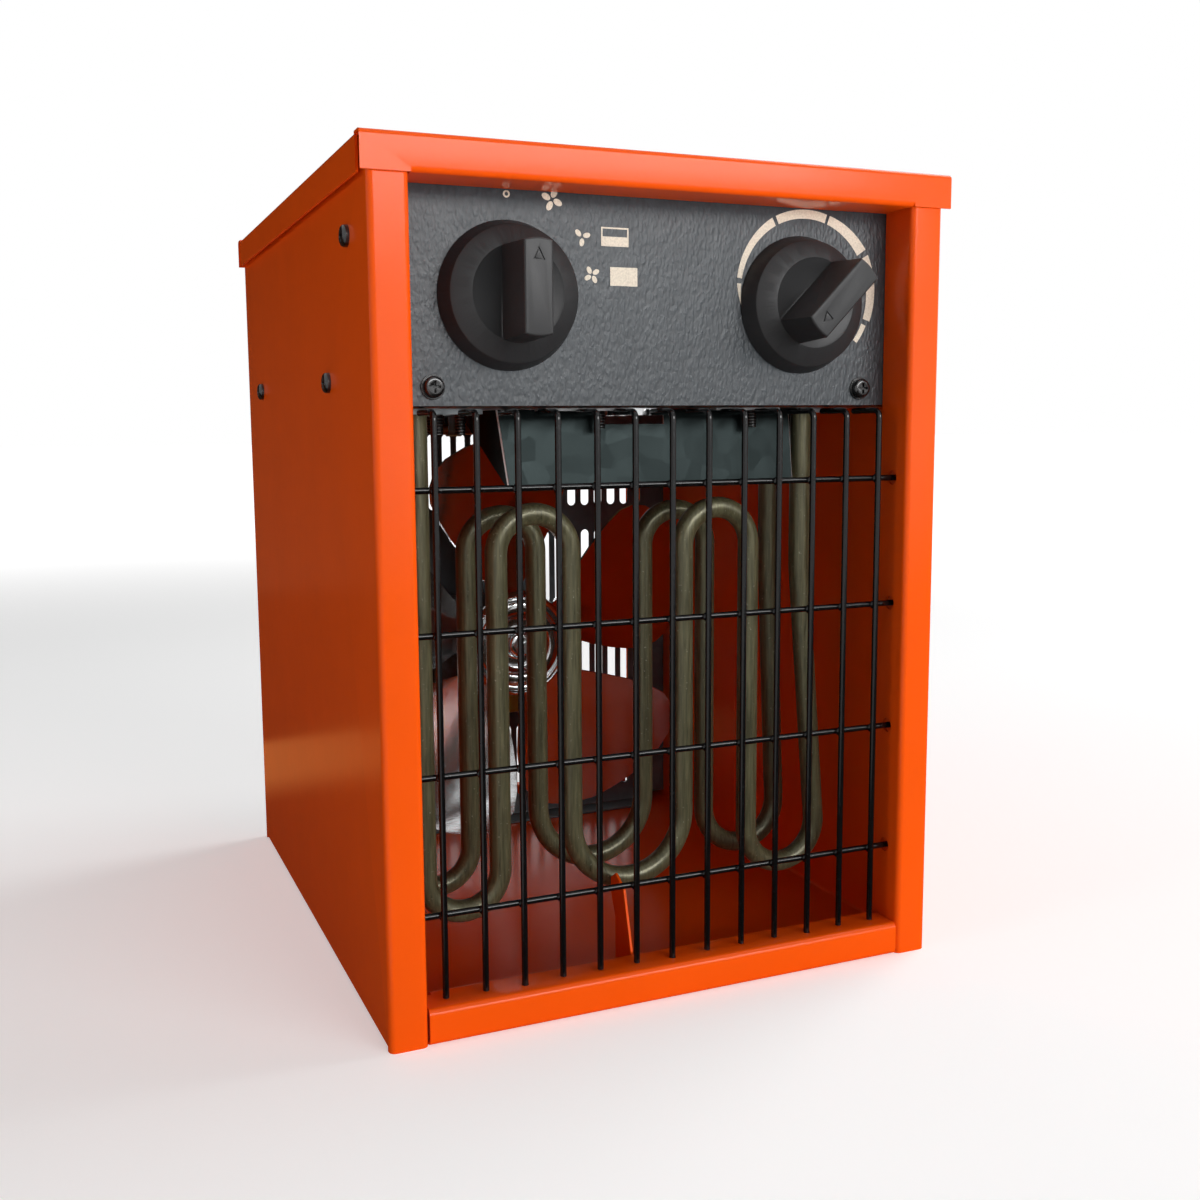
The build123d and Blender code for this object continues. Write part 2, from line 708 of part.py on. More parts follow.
def element_rows():
    """Depth, lowering, lean of the last leg and its reach outwards, front element first."""
    front = (FRONT_ROW_DEPTH, 0.0, FRONT_LEAN, FRONT_LEAN_OUT)
    return [front, (REAR_ROW_DEPTH, REAR_ROW_DROP, REAR_LEAN, REAR_LEAN_OUT)]


def element_ends():
    """Where the sheath ends pass through the shelf."""
    ends = []
    for y, drop, lean, lean_out in element_rows():
        ends.append((leg_xs(lean_out)[0], y))
        ends.append((last_leg(drop, lean, lean_out)[2], y))
    return ends


def last_leg(drop, lean, lean_out):
    """Start of the leaning leg, where it turns upright, and its X above that."""
    xs = leg_xs(lean_out)
    radius = (xs[5] - xs[4]) / 2
    centre_x = (xs[5] + xs[4]) / 2
    centre_z = SHEET + ELEMENT_FLOOR_GAP - drop + radius
    start = (centre_x + radius * cos(radians(lean)), centre_z + radius * sin(radians(lean)))
    turn_z = SHELF_Z - LEAN_RISE
    upright_x = start[0] - (turn_z - start[1]) * sin(radians(lean)) / cos(radians(lean))
    return start, turn_z, upright_x


def element(y, drop, lean, lean_out):
    """One sheathed tube: down, narrow bend, over, wide bend, over, narrow bend and up again."""
    xs = leg_xs(lean_out)
    top = SHELF_Z - ELEMENT_TOP_GAP - drop
    bottom = SHEET + ELEMENT_FLOOR_GAP - drop
    end = SHELF_TOP + SHEATH_RISE
    bends = []
    for i in range(4):
        radius = (xs[i + 1] - xs[i]) / 2
        rise = MIDDLE_BEND_RISE if i == 2 else 0
        down = i % 2 == 0
        height = bottom + rise + radius if down else top - radius
        reach = -radius if down else radius
        middle = ((xs[i] + xs[i + 1]) / 2, y, height + reach)
        bends.append(ThreePointArc((xs[i], y, height), middle, (xs[i + 1], y, height)))
    start, turn_z, upright_x = last_leg(drop, lean, lean_out)
    radius = (xs[5] - xs[4]) / 2
    centre_x = (xs[5] + xs[4]) / 2
    height = bottom + radius
    last = ThreePointArc((xs[4], y, height), (centre_x, y, bottom), (start[0], y, start[1]))
    leg = FilletPolyline(
        (start[0], y, start[1]),
        (upright_x, y, turn_z),
        (upright_x, y, end),
        radius=LEAN_RADIUS,
    )
    path = [Line((xs[0], y, end), bends[0] @ 0), bends[0]]
    for before, after in zip(bends, bends[1:] + [last]):
        path += [Line(before @ 1, after @ 0), after]
    return swept(Curve() + path + leg, TUBE_D)


def element_flanges():
    """Plates brazed to the sheath ends, under the shelf."""
    plates = []
    z = (SHELF_Z - FLANGE_SHEET, SHELF_Z)
    far = FLANGE_LENGTH - FLANGE_EDGE
    for i, (x, y) in enumerate(element_ends()):
        half = FLANGE_WIDTH / 2
        if i % 2 == 0:
            plate = box((x - FLANGE_EDGE, x + far), (y - half, y + half), z)
        else:
            plate = box((x - half, x + half), (y - FLANGE_EDGE, y + far), z)
        plate -= rod_z(x, y, (z[0] - 1, z[1] + 1), TUBE_D + 2 * RUNNING_FIT)
        for hole_x, hole_y in flange_screws_of(i):
            plate -= rod_z(hole_x, hole_y, (z[0] - 1, z[1] + 1), SCREW_D + 2 * SCREW_FIT)
        plates.append(plate)
    return plates


def flange_screws_of(index):
    x, y = element_ends()[index]
    steps = (FLANGE_REACH, FLANGE_REACH + FLANGE_PITCH)
    if index % 2 == 0:
        return [(x + step, y) for step in steps]
    return [(x, y + step) for step in steps]


def flange_screw_places():
    return [place for i in range(4) for place in flange_screws_of(i)]


def baffle_sides():
    """Left and right ends of the baffle, between the flanges of the front element."""
    (left, _), (right, _) = element_ends()[:2]
    left += FLANGE_LENGTH - FLANGE_EDGE + BAFFLE_LEFT_GAP
    return left, right - FLANGE_WIDTH / 2 - BAFFLE_RIGHT_GAP


def baffle_tabs():
    """Both tabs from the baffle's end to the cut-out's notch."""
    left, right = baffle_sides()
    notch_left, notch_right = baffle_notch()
    return [
        (left + BAFFLE_TAB_INSETS[0], notch_left - BAFFLE_TAB_GAPS[0]),
        (notch_right + BAFFLE_TAB_GAPS[1], right - BAFFLE_TAB_INSETS[1]),
    ]


def baffle_notch():
    return (CUTOUT_X - CUTOUT_CAP_D / 2 - SHEET, CUTOUT_X + CUTOUT_CAP_D / 2 + SHEET)


def baffle_screw_places():
    places = []
    for (start, end), share in zip(baffle_tabs(), BAFFLE_SCREW_SHARES):
        places.append((start + share * (end - start), BAFFLE_SCREW_DEPTH))
    return places


def shelf_screws(places, reach):
    """Screws put in from above, whose threads hang below the shelf."""
    pieces = []
    for x, y in places:
        body = screw(SCREW_D, SHEET + reach, SCREW_HEAD_D, SCREW_HEAD_H)
        pieces.append(Pos(x, y, SHELF_TOP) * body)
    return pieces


def element_insulators():
    base = SHELF_TOP + SHEATH_RISE
    pieces = []
    for x, y in element_ends():
        bush = rod_z(x, y, (base, base + INSULATOR_H), INSULATOR_D)
        pieces.append(bush - rod_z(x, y, (base - 1, base + INSULATOR_H + 1), TERMINAL_D + 2 * RUNNING_FIT))
    return pieces


def element_terminals():
    base = SHELF_TOP + SHEATH_RISE
    return [rod_z(x, y, (base, base + TERMINAL_LENGTH), TERMINAL_D) for x, y in element_ends()]


def element_rest():
    """Upright fin on a foot, bent from one strip, that stops the middle bend of the front element."""
    front = LEDGE_DEPTH + 0.8
    back = front + REST_WIDTH
    head_front = rest_back() - REST_HEAD * 1.4
    outline = [
        (front, SHEET),
        (front, RAIL_HEIGHT),
        (head_front, REST_TOP - REST_HEAD / 2),
        (rest_back() - REST_HEAD / 2, REST_TOP),
        (rest_back(), REST_TOP - REST_HEAD / 3),
        (rest_back(), REST_TOP - REST_HEAD),
        (back, REST_NECK_Z),
        (back, SHEET),
    ]
    fin = along_x(make_face(Polyline(*outline, close=True)), (REST_X - REST_SHEET, REST_X))
    across = (REST_X - REST_SHEET, REST_X + REST_FOOT)
    foot = box(across, (front + 1, back - 1), (SHEET, SHEET + REST_SHEET))
    return fin + foot


def rest_back():
    return FRONT_ROW_DEPTH - TUBE_D / 2 - SHEET_GAP


def air_baffle():
    """Slanted deflector in front of the elements, hung from the shelf by two tabs."""
    top = SHELF_Z - SHEET_GAP
    bottom = SHELF_Z - BAFFLE_HEIGHT
    foot = BAFFLE_Y - BAFFLE_SLANT
    left, right = baffle_sides()
    left_top = (left, BAFFLE_Y, top)
    left_foot = (left + BAFFLE_SKEW, foot, bottom)
    right_top = (right, BAFFLE_Y, top)
    right_foot = (right, foot, bottom)
    plate = thick_plate([left_top, left_foot, right_foot, right_top], BAFFLE_SHEET)
    rear = BAFFLE_Y + GUSSET_LENGTH
    plate += thick_plate([left_top, (left, rear, top), left_foot], BAFFLE_SHEET)
    plate += thick_plate([right_top, right_foot, (right, rear, top)], BAFFLE_SHEET)
    plate -= box(baffle_notch(), (foot - 5, BAFFLE_Y + 5), (top - BAFFLE_NOTCH, top + 1))
    under = SHELF_Z - BAFFLE_SHEET
    front = BAFFLE_Y - BAFFLE_TAB
    for tab in baffle_tabs():
        plate += box(tab, (front, BAFFLE_Y + BAFFLE_SHEET / 2), (under, SHELF_Z))
    for x, y in baffle_screw_places():
        plate -= rod_z(x, y, (under - 1, SHELF_Z + 1), SCREW_D + 2 * SCREW_FIT)
    return plate


def thick_plate(corners, sheet):
    """A flat plate whose middle face the corners span."""
    return extrude(Face(Wire.make_polygon(corners, close=True)), amount=sheet / 2, both=True)


def cutout_cap():
    return rod_z(CUTOUT_X, CUTOUT_DEPTH, (SHELF_Z - CUTOUT_CAP_H, SHELF_Z), CUTOUT_CAP_D)


def cutout_body():
    body = rod_z(CUTOUT_X, CUTOUT_DEPTH, (SHELF_Z, SHELF_Z + CUTOUT_BODY_H), CUTOUT_BODY_D)
    return body


def cutout_terminals():
    base = SHELF_Z + CUTOUT_BODY_H
    half = BLADE_WIDTH / 2
    blades = []
    for sign in (-1, 1):
        x = CUTOUT_X + sign * CUTOUT_BODY_D / 4
        ys = (CUTOUT_DEPTH - half, CUTOUT_DEPTH + half)
        blades.append(box((x - BLADE_SHEET / 2, x + BLADE_SHEET / 2), ys, (base, base + BLADE_LENGTH)))
    return blades


def knob(x, pointer):
    """Skirt, cone up to a dished disc and a tall grip bar whose pointer stands at a clockwise angle."""
    rear = PANEL_Y - KNOB_GAP
    rim = rear - SKIRT_DEPTH
    web = rim + KNOB_WALL
    boss = BOSS_D / 2
    crown = rim - DISC_RISE
    section = [
        (0, crown + DISC_DISH),
        (DISC_D / 2 - KNOB_EDGE, crown + DISC_DISH),
        (DISC_D / 2, crown),
        (SKIRT_FRONT_D / 2, rim),
        (SKIRT_D / 2, rear),
        (SKIRT_D / 2 - KNOB_WALL, rear),
        (SKIRT_FRONT_D / 2 - KNOB_WALL, web),
        (boss, web),
        (boss, rear - COLLAR_REACH - KNOB_GAP),
        (0, rear - COLLAR_REACH - KNOB_GAP),
    ]
    body = turned(section)
    circles = body.edges().filter_by(GeomType.CIRCLE)
    body = fillet(circles.filter_by(lambda edge: abs(edge.radius - SKIRT_FRONT_D / 2) < 0.01), KNOB_EDGE)
    body += grip(rim)
    body -= rod_y(0, 0, (KNOB_SOCKET - GRIP_REACH, rear), SHAFT_D + 2 * RUNNING_FIT)
    return Pos(x, 0, KNOB_Z) * Rot(0, pointer, 0) * body


def grip(base):
    """The bar across the disc, with drafted flanks, round ends and an engraved pointer."""
    foot = Rectangle(GRIP_BASE, 2 * GRIP_BASE_D) & Circle(GRIP_BASE_D / 2)
    face = Rectangle(GRIP_FACE, 2 * GRIP_BASE_D) & Circle(GRIP_FACE_D / 2)
    bar = loft([Plane.XZ.offset(-base) * foot, Plane.XZ.offset(GRIP_REACH) * face], ruled=True)
    bar = fillet(bar.faces().sort_by(Axis.Y)[0].edges(), KNOB_EDGE)
    mark = Pos(0, MARK_RADIUS) * pointer_outline()
    return bar - along_y(mark, (-GRIP_REACH - 1, -GRIP_REACH + MARK_DEPTH))


def pointer_outline():
    half = MARK_SIZE / 2
    outer = make_face(Polyline((-half, -half), (half, -half), (0, half), close=True))
    return outer - offset(outer, -MARK_LINE)


def control_shaft(x, tip):
    """Round shaft from inside the grip to the inner works."""
    start = KNOB_SOCKET - GRIP_REACH + KNOB_GAP
    return rod_y(x, KNOB_Z, (start, tip), SHAFT_D)


def control_screws():
    pieces = []
    for sign in (-1, 1):
        for offset_x in (-CONTROL_SCREW_X, CONTROL_SCREW_X):
            body = screw(CONTROL_SCREW_D, CONTROL_SCREW_LENGTH, CONTROL_SCREW_HEAD_D, CONTROL_SCREW_HEAD_H)
            place = Pos(sign * KNOB_X + offset_x, PANEL_Y, KNOB_Z)
            pieces.append(place * FACING_FRONT * body)
    return pieces


def control_housing(x, width, height, depth, wall):
    """An open-backed box behind the panel with a collar round its shaft."""
    front = PANEL_BACK
    zs = (KNOB_Z - height / 2, KNOB_Z + height / 2)
    xs = (x - width / 2, x + width / 2)
    body = box(xs, (front, front + depth), zs)
    inner_x = (xs[0] + wall, xs[1] - wall)
    inner_z = (zs[0] + wall, zs[1] - wall)
    front_wall = front + CONTROL_SCREW_LENGTH
    body -= box(inner_x, (front_wall, front + depth + 1), inner_z)
    body += rod_y(x, KNOB_Z, (PANEL_Y - COLLAR_REACH, front), COLLAR_D)
    body -= rod_y(x, KNOB_Z, (PANEL_Y - COLLAR_REACH - 1, front + depth), SHAFT_D + 2 * RUNNING_FIT)
    for offset_x in (-CONTROL_SCREW_X, CONTROL_SCREW_X):
        hole = (front - 1, front + CONTROL_SCREW_LENGTH)
        body -= rod_y(x + offset_x, KNOB_Z, hole, CONTROL_SCREW_D + 2 * SCREW_FIT)
    return body


def switch_back_y():
    return PANEL_BACK + SWITCH_DEPTH


def thermostat_back_y():
    return PANEL_BACK + THERMOSTAT_DEPTH


def back_plate(x, width, height, y):
    zs = (KNOB_Z - height / 2, KNOB_Z + height / 2)
    return box((x - width / 2, x + width / 2), (y, y + SWITCH_BACK), zs)


def terminal_blades(x, y, offsets):
    """Flat push-on terminals standing out of a back plate."""
    pieces = []
    for dx, dz in offsets:
        half = BLADE_WIDTH / 2
        xs = (x + dx - half, x + dx + half)
        zs = (KNOB_Z + dz - BLADE_SHEET / 2, KNOB_Z + dz + BLADE_SHEET / 2)
        pieces.append(box(xs, (y, y + BLADE_LENGTH), zs))
    return pieces


def switch_terminal_offsets():
    step = SWITCH_SIZE / 4
    return [(-step, step), (step, step), (-step, 0), (step, 0), (-step, -step)]


def thermostat_terminal_offsets():
    step = THERMOSTAT_WIDTH / 4
    return [(-step, 0), (step, 0)]


def switch_cam():
    """Drum on the shaft with a flat that lets the contacts close."""
    start = PANEL_BACK + CONTROL_SCREW_LENGTH + KNOB_WALL
    span = (start, start + CAM_LENGTH)
    cam = rod_y(-KNOB_X, KNOB_Z, span, CAM_D)
    flat = box((-KNOB_X - CAM_D, -KNOB_X + CAM_D), span, (KNOB_Z - CAM_D, KNOB_Z - CAM_D * 0.36))
    return cam - flat - rod_y(-KNOB_X, KNOB_Z, (span[0] - 1, span[1] + 1), SHAFT_D + 2 * RUNNING_FIT)


def thermostat_bellows():
    y = thermostat_back_y()
    return rod_y(KNOB_X, KNOB_Z, (y - BELLOWS_H, y), BELLOWS_D)


def capillary_start():
    return (KNOB_X, thermostat_back_y() + SWITCH_BACK, KNOB_Z - CAPILLARY_DROP)


def capillary_hole():
    return (-BULB_LENGTH / 2 - CAPILLARY_STEP, BULB_Y)


def capillary_tube():
    """Thin tube from the thermostat, back over the shelf and down to the sensor bulb."""
    x, y, z = capillary_start()
    hole_x, hole_y = capillary_hole()
    line = FilletPolyline(
        (x, y, z),
        (x, y + CAPILLARY_RUN, z),
        (hole_x, hole_y, z),
        (hole_x, hole_y, BULB_Z),
        (-BULB_LENGTH / 2, hole_y, BULB_Z),
        radius=[20.0, 10.0, CAPILLARY_BEND],
    )
    return swept(line, CAPILLARY_D)


def sensor_bulb():
    half = BULB_LENGTH / 2
    return rod_x(BULB_Y, BULB_Z, (-half, half), BULB_D)


def bulb_clips():
    """Straps under the shelf that hold the bulb."""
    clips = []
    outer = BULB_D + 2 * (RUNNING_FIT + CLIP_SHEET)
    for x in (-CLIP_X, CLIP_X):
        span = (x - CLIP_WIDTH / 2, x + CLIP_WIDTH / 2)
        strap = box(span, (BULB_Y - outer / 2, BULB_Y + outer / 2), (BULB_Z, SHELF_Z))
        strap += rod_x(BULB_Y, BULB_Z, span, outer)
        inside = BULB_D / 2 + RUNNING_FIT
        through = (span[0] - 1, span[1] + 1)
        strap -= box(through, (BULB_Y - inside, BULB_Y + inside), (BULB_Z, SHELF_Z - CLIP_SHEET))
        strap -= rod_x(BULB_Y, BULB_Z, through, 2 * inside)
        clips.append(strap)
    return clips


def grommet(place, outer, hole, bore):
    """Rubber ring with a groove for the shelf's edge."""
    ring = rod_z(*place, (SHELF_Z - GROMMET_LIP, SHELF_TOP + GROMMET_LIP), outer)
    groove = rod_z(*place, (SHELF_Z, SHELF_TOP), outer + 2) - rod_z(*place, (SHELF_Z, SHELF_TOP), hole)
    return ring - groove - rod_z(*place, (SHELF_Z - 5, SHELF_TOP + 5), bore)


def impeller():
    """Pressed hub with a raised rim and a dish, and broad twisted blades."""
    front = HUB_FRONT
    rim = HUB_RIM_D / 2
    outer = HUB_D / 2
    dish = HUB_DISH_D / 2
    boss = HUB_BOSS_D / 2
    wave = [
        (boss - HUB_SHEET, front + HUB_DISH),
        (dish, front + HUB_DISH),
        (rim - HUB_RIM_WIDTH * 0.75, front + HUB_RIM_DROP),
        (rim + HUB_RIM_WIDTH * 0.25, front + HUB_RIM_DROP),
        (outer - HUB_SHEET, front + HUB_RIM_DROP + HUB_DISH),
        (outer - HUB_SHEET, front + HUB_DEPTH),
    ]
    hub = revolve(fold(wave, HUB_BEND, HUB_SHEET), axis=Axis.Y)
    hub += rod_y(0, 0, (front, front + HUB_DEPTH), HUB_BOSS_D)
    hub = fillet(hub.edges().sort_by(Axis.Y)[0], 1.0)
    for i in range(BLADE_COUNT):
        angle = FIRST_BLADE - 90 + i * 360 / BLADE_COUNT
        hub += Rot(0, -angle, 0) * blade()
    hub -= rod_y(0, 0, (front - 1, front + HUB_DEPTH + 1), FAN_SHAFT_D + 2 * RUNNING_FIT)
    return Pos(0, 0, FAN_Z) * hub


def blade():
    """One blade that points up: a twisted sheet trimmed to a rounded outline."""
    inner = HUB_D / 2 - 2.5
    sections = []
    for radius, pitch in ((inner, ROOT_PITCH), (FAN_R + 5, TIP_PITCH)):
        place = Plane.XY.offset(radius) * Pos(0, BLADE_Y) * Rot(0, 0, pitch)
        sections.append(place * Rectangle(1.3 * FAN_R, FAN_BLADE_SHEET))
    sheet = loft(sections)
    tip = FAN_R * cos(radians(BLADE_SPREAD))
    side = FAN_R * sin(radians(BLADE_SPREAD))
    root = BLADE_ROOT_HALF
    waist = BLADE_WAIST_HALF
    line = Curve() + [
        Line((-root, inner), (root, inner)),
        ThreePointArc((root, inner), (waist, BLADE_WAIST_R), (side, tip)),
        ThreePointArc((side, tip), (0, FAN_R), (-side, tip)),
        ThreePointArc((-side, tip), (-waist, BLADE_WAIST_R), (-root, inner)),
    ]
    outline = make_face(line)
    corners = outline.vertices().group_by(Axis.Y)[-1]
    outline = fillet(corners, BLADE_CORNER)
    return sheet & along_y(outline, (BLADE_Y - FAN_R, BLADE_Y + FAN_R))


def fan_shaft():
    start = HUB_FRONT - HUB_NUT_H - SHAFT_TIP
    end = STACK_REAR + BRACKET_RISE + BRACKET_SHEET
    return rod_y(0, FAN_Z, (start, end), FAN_SHAFT_D)


def hub_nut():
    nut = hexagon(HUB_NUT_AF, HUB_NUT_H, FAN_SHAFT_D + 2 * RUNNING_FIT)
    return Pos(0, HUB_FRONT, FAN_Z) * FACING_FRONT * nut


def motor_rotor():
    middle = (STACK_FRONT + STACK_REAR) / 2
    span = (middle - ROTOR_LENGTH / 2, middle + ROTOR_LENGTH / 2)
    body = rod_y(0, FAN_Z, span, ROTOR_D)
    return body - rod_y(0, FAN_Z, (span[0] - 1, span[1] + 1), FAN_SHAFT_D + 2 * RUNNING_FIT)


def motor_stator():
    """Laminated frame: the rotor bore above, the coil's leg below."""
    span = (STACK_FRONT, STACK_REAR)
    low = FAN_Z - STACK_BOTTOM
    leg_top = low + LEG_HEIGHT
    frame = box((-STACK_HALF, STACK_HALF), span, (low, FAN_Z + STACK_TOP))
    through = (span[0] - 1, span[1] + 1)
    frame -= box((-WINDOW_HALF, WINDOW_HALF), through, (leg_top, FAN_Z - STACK_TOP))
    frame -= rod_y(0, FAN_Z, through, ROTOR_D + 2 * ROTOR_GAP)
    for sign in (-1, 1):
        frame -= rod_y(sign * MOTOR_SCREW_X, FAN_Z, through, SCREW_D + 2 * SCREW_FIT)
    return frame


def coil_box(build):
    """The space round the coil's leg, thicker than the leg by a build on each side."""
    low = FAN_Z - STACK_BOTTOM
    return (STACK_FRONT - build, STACK_REAR + build), (low - build, low + LEG_HEIGHT + build)


def motor_bobbin():
    fit = BOBBIN_WALL + RUNNING_FIT
    outer_y, outer_z = coil_box(COIL_BUILD)
    tube_y, tube_z = coil_box(fit)
    leg_y, leg_z = coil_box(RUNNING_FIT)
    body = box((-COIL_HALF, COIL_HALF), tube_y, tube_z)
    for sign in (-1, 1):
        xs = sorted((sign * COIL_HALF, sign * (COIL_HALF + BOBBIN_WALL)))
        body += box(xs, outer_y, outer_z)
    return body - box((-COIL_HALF - 5, COIL_HALF + 5), leg_y, leg_z)


def motor_coil():
    winding = COIL_HALF - RUNNING_FIT
    outer_y, outer_z = coil_box(COIL_BUILD - BOBBIN_WALL)
    tube_y, tube_z = coil_box(BOBBIN_WALL + 2 * RUNNING_FIT)
    body = box((-winding, winding), outer_y, outer_z)
    body = fillet(body.edges().filter_by(Axis.X), COIL_CORNER)
    return body - box((-COIL_HALF - 5, COIL_HALF + 5), tube_y, tube_z)


def motor_bracket(face, outward):
    """Bridge with a raised middle that carries a bearing."""
    wall = BRACKET_SHEET / 2
    near = face + outward * wall
    far = face + outward * (BRACKET_RISE + wall)
    half = STACK_HALF
    step = half - BRACKET_STEP
    rise = step - BRACKET_SLOPE
    points = [(-half, near), (-step, near), (-rise, far), (rise, far), (step, near), (half, near)]
    zs = (FAN_Z - BRACKET_WIDTH / 2, FAN_Z + BRACKET_WIDTH / 2)
    bridge = along_z(fold(points, BRACKET_BEND, BRACKET_SHEET), zs)
    cup_depth = BRACKET_RISE + BRACKET_SHEET - BEARING_LENGTH
    cup = sorted((face + outward * BRACKET_RISE, face + outward * cup_depth))
    bridge += rod_y(0, FAN_Z, cup, BEARING_D + 2 * BEARING_CUP)
    ends = sorted((face, face + outward * (BRACKET_RISE + BRACKET_SHEET + 1)))
    bridge -= rod_y(0, FAN_Z, ends, BEARING_D + 2 * RUNNING_FIT)
    for sign in (-1, 1):
        bridge -= rod_y(sign * MOTOR_SCREW_X, FAN_Z, ends, SCREW_D + 2 * SCREW_FIT)
    return bridge


def motor_bearings():
    pieces = []
    for face, outward in ((STACK_FRONT, -1), (STACK_REAR, 1)):
        outer = face + outward * (BRACKET_RISE + BRACKET_SHEET)
        span = sorted((outer, outer - outward * BEARING_LENGTH))
        bush = rod_y(0, FAN_Z, span, BEARING_D)
        pieces.append(bush - rod_y(0, FAN_Z, (span[0] - 1, span[1] + 1), FAN_SHAFT_D + 2 * RUNNING_FIT))
    return pieces


def motor_screws():
    start = STACK_FRONT - BRACKET_SHEET
    length = REAR_BACK + NUT_H + 1 - start
    pieces = []
    for sign in (-1, 1):
        body = screw(SCREW_D, length, SCREW_HEAD_D - 1, SCREW_HEAD_H)
        pieces.append(Pos(sign * MOTOR_SCREW_X, start, FAN_Z) * FACING_FRONT * body)
    return pieces


def motor_spacers():
    span = (REAR_Y - SPACER_LENGTH, REAR_Y)
    pieces = []
    for sign in (-1, 1):
        x = sign * MOTOR_SCREW_X
        tube = rod_y(x, FAN_Z, span, SPACER_D)
        pieces.append(tube - rod_y(x, FAN_Z, (span[0] - 1, span[1] + 1), SCREW_D + 2 * SCREW_FIT))
    return pieces


def motor_nuts():
    pieces = []
    for sign in (-1, 1):
        nut = hexagon(NUT_AF, NUT_H, SCREW_D + 2 * RUNNING_FIT)
        pieces.append(Pos(sign * MOTOR_SCREW_X, REAR_BACK, FAN_Z) * FACING_REAR * nut)
    return pieces


def cable_gland():
    """Screwed gland in the rear panel with a bore for the supply cable."""
    body = rod_y(GLAND_X, GLAND_Z, (REAR_BACK - GLAND_THREAD_LENGTH, REAR_BACK), GLAND_THREAD_D)
    flange = hexagon(GLAND_FLANGE_D, GLAND_FLANGE_H, GLAND_BORE_D)
    body += Pos(GLAND_X, REAR_BACK, GLAND_Z) * FACING_REAR * flange
    start = REAR_BACK + GLAND_FLANGE_H
    dome = rod_y(GLAND_X, GLAND_Z, (start, start + GLAND_DOME_H), GLAND_DOME_D)
    body += fillet(dome.edges().filter_by(GeomType.CIRCLE).sort_by(Axis.Y)[-1], GLAND_ROUND)
    bore = (REAR_BACK - GLAND_THREAD_LENGTH - 1, start + GLAND_DOME_H + 1)
    return body - rod_y(GLAND_X, GLAND_Z, bore, GLAND_BORE_D)


def gland_locknut():
    nut = hexagon(LOCKNUT_AF, LOCKNUT_H, GLAND_THREAD_D + 2 * RUNNING_FIT)
    return Pos(GLAND_X, REAR_Y, GLAND_Z) * FACING_FRONT * nut


def block_screw_place():
    return (GLAND_X, BLOCK_Y)


def earth_place():
    return (INNER - EARTH_SIDE_GAP, EARTH_DEPTH)


def block_ways():
    pitch = BLOCK_WIDTH / BLOCK_WAYS
    return [GLAND_X + (i - (BLOCK_WAYS - 1) / 2) * pitch for i in range(BLOCK_WAYS)]


def terminal_block():
    """Moulded block with a wire way through each pole."""
    half = BLOCK_WIDTH / 2
    ys = (BLOCK_Y - BLOCK_DEPTH / 2, BLOCK_Y + BLOCK_DEPTH / 2)
    top = SHELF_TOP + BLOCK_HEIGHT
    body = box((GLAND_X - half, GLAND_X + half), ys, (SHELF_TOP, top))
    for x in block_ways():
        body -= rod_y(x, SHELF_TOP + BLOCK_HEIGHT / 2, (ys[0] - 1, ys[1] + 1), WIRE_COVER_D + 2 * BORE_FIT)
        for y in block_screw_ys():
            body -= rod_z(x, y, (SHELF_TOP + BLOCK_HEIGHT * 0.7, top + 1), BLOCK_SCREW_D + 2 * BORE_FIT)
    return body


def block_screw_ys():
    return (BLOCK_Y - BLOCK_DEPTH / 4, BLOCK_Y + BLOCK_DEPTH / 4)


def block_screws():
    low = SHELF_TOP + BLOCK_HEIGHT * 0.7
    pieces = []
    for x in block_ways():
        for y in block_screw_ys():
            body = rod_z(x, y, (low, low + 3), BLOCK_SCREW_D)
            pieces.append(body - box((x - 0.4, x + 0.4), (y - 3, y + 3), (low + 2, low + 4)))
    return pieces


def earth_screw():
    return Pos(*earth_place(), SHELF_TOP) * screw(SCREW_D, SHEET + 5, SCREW_HEAD_D, SCREW_HEAD_H)


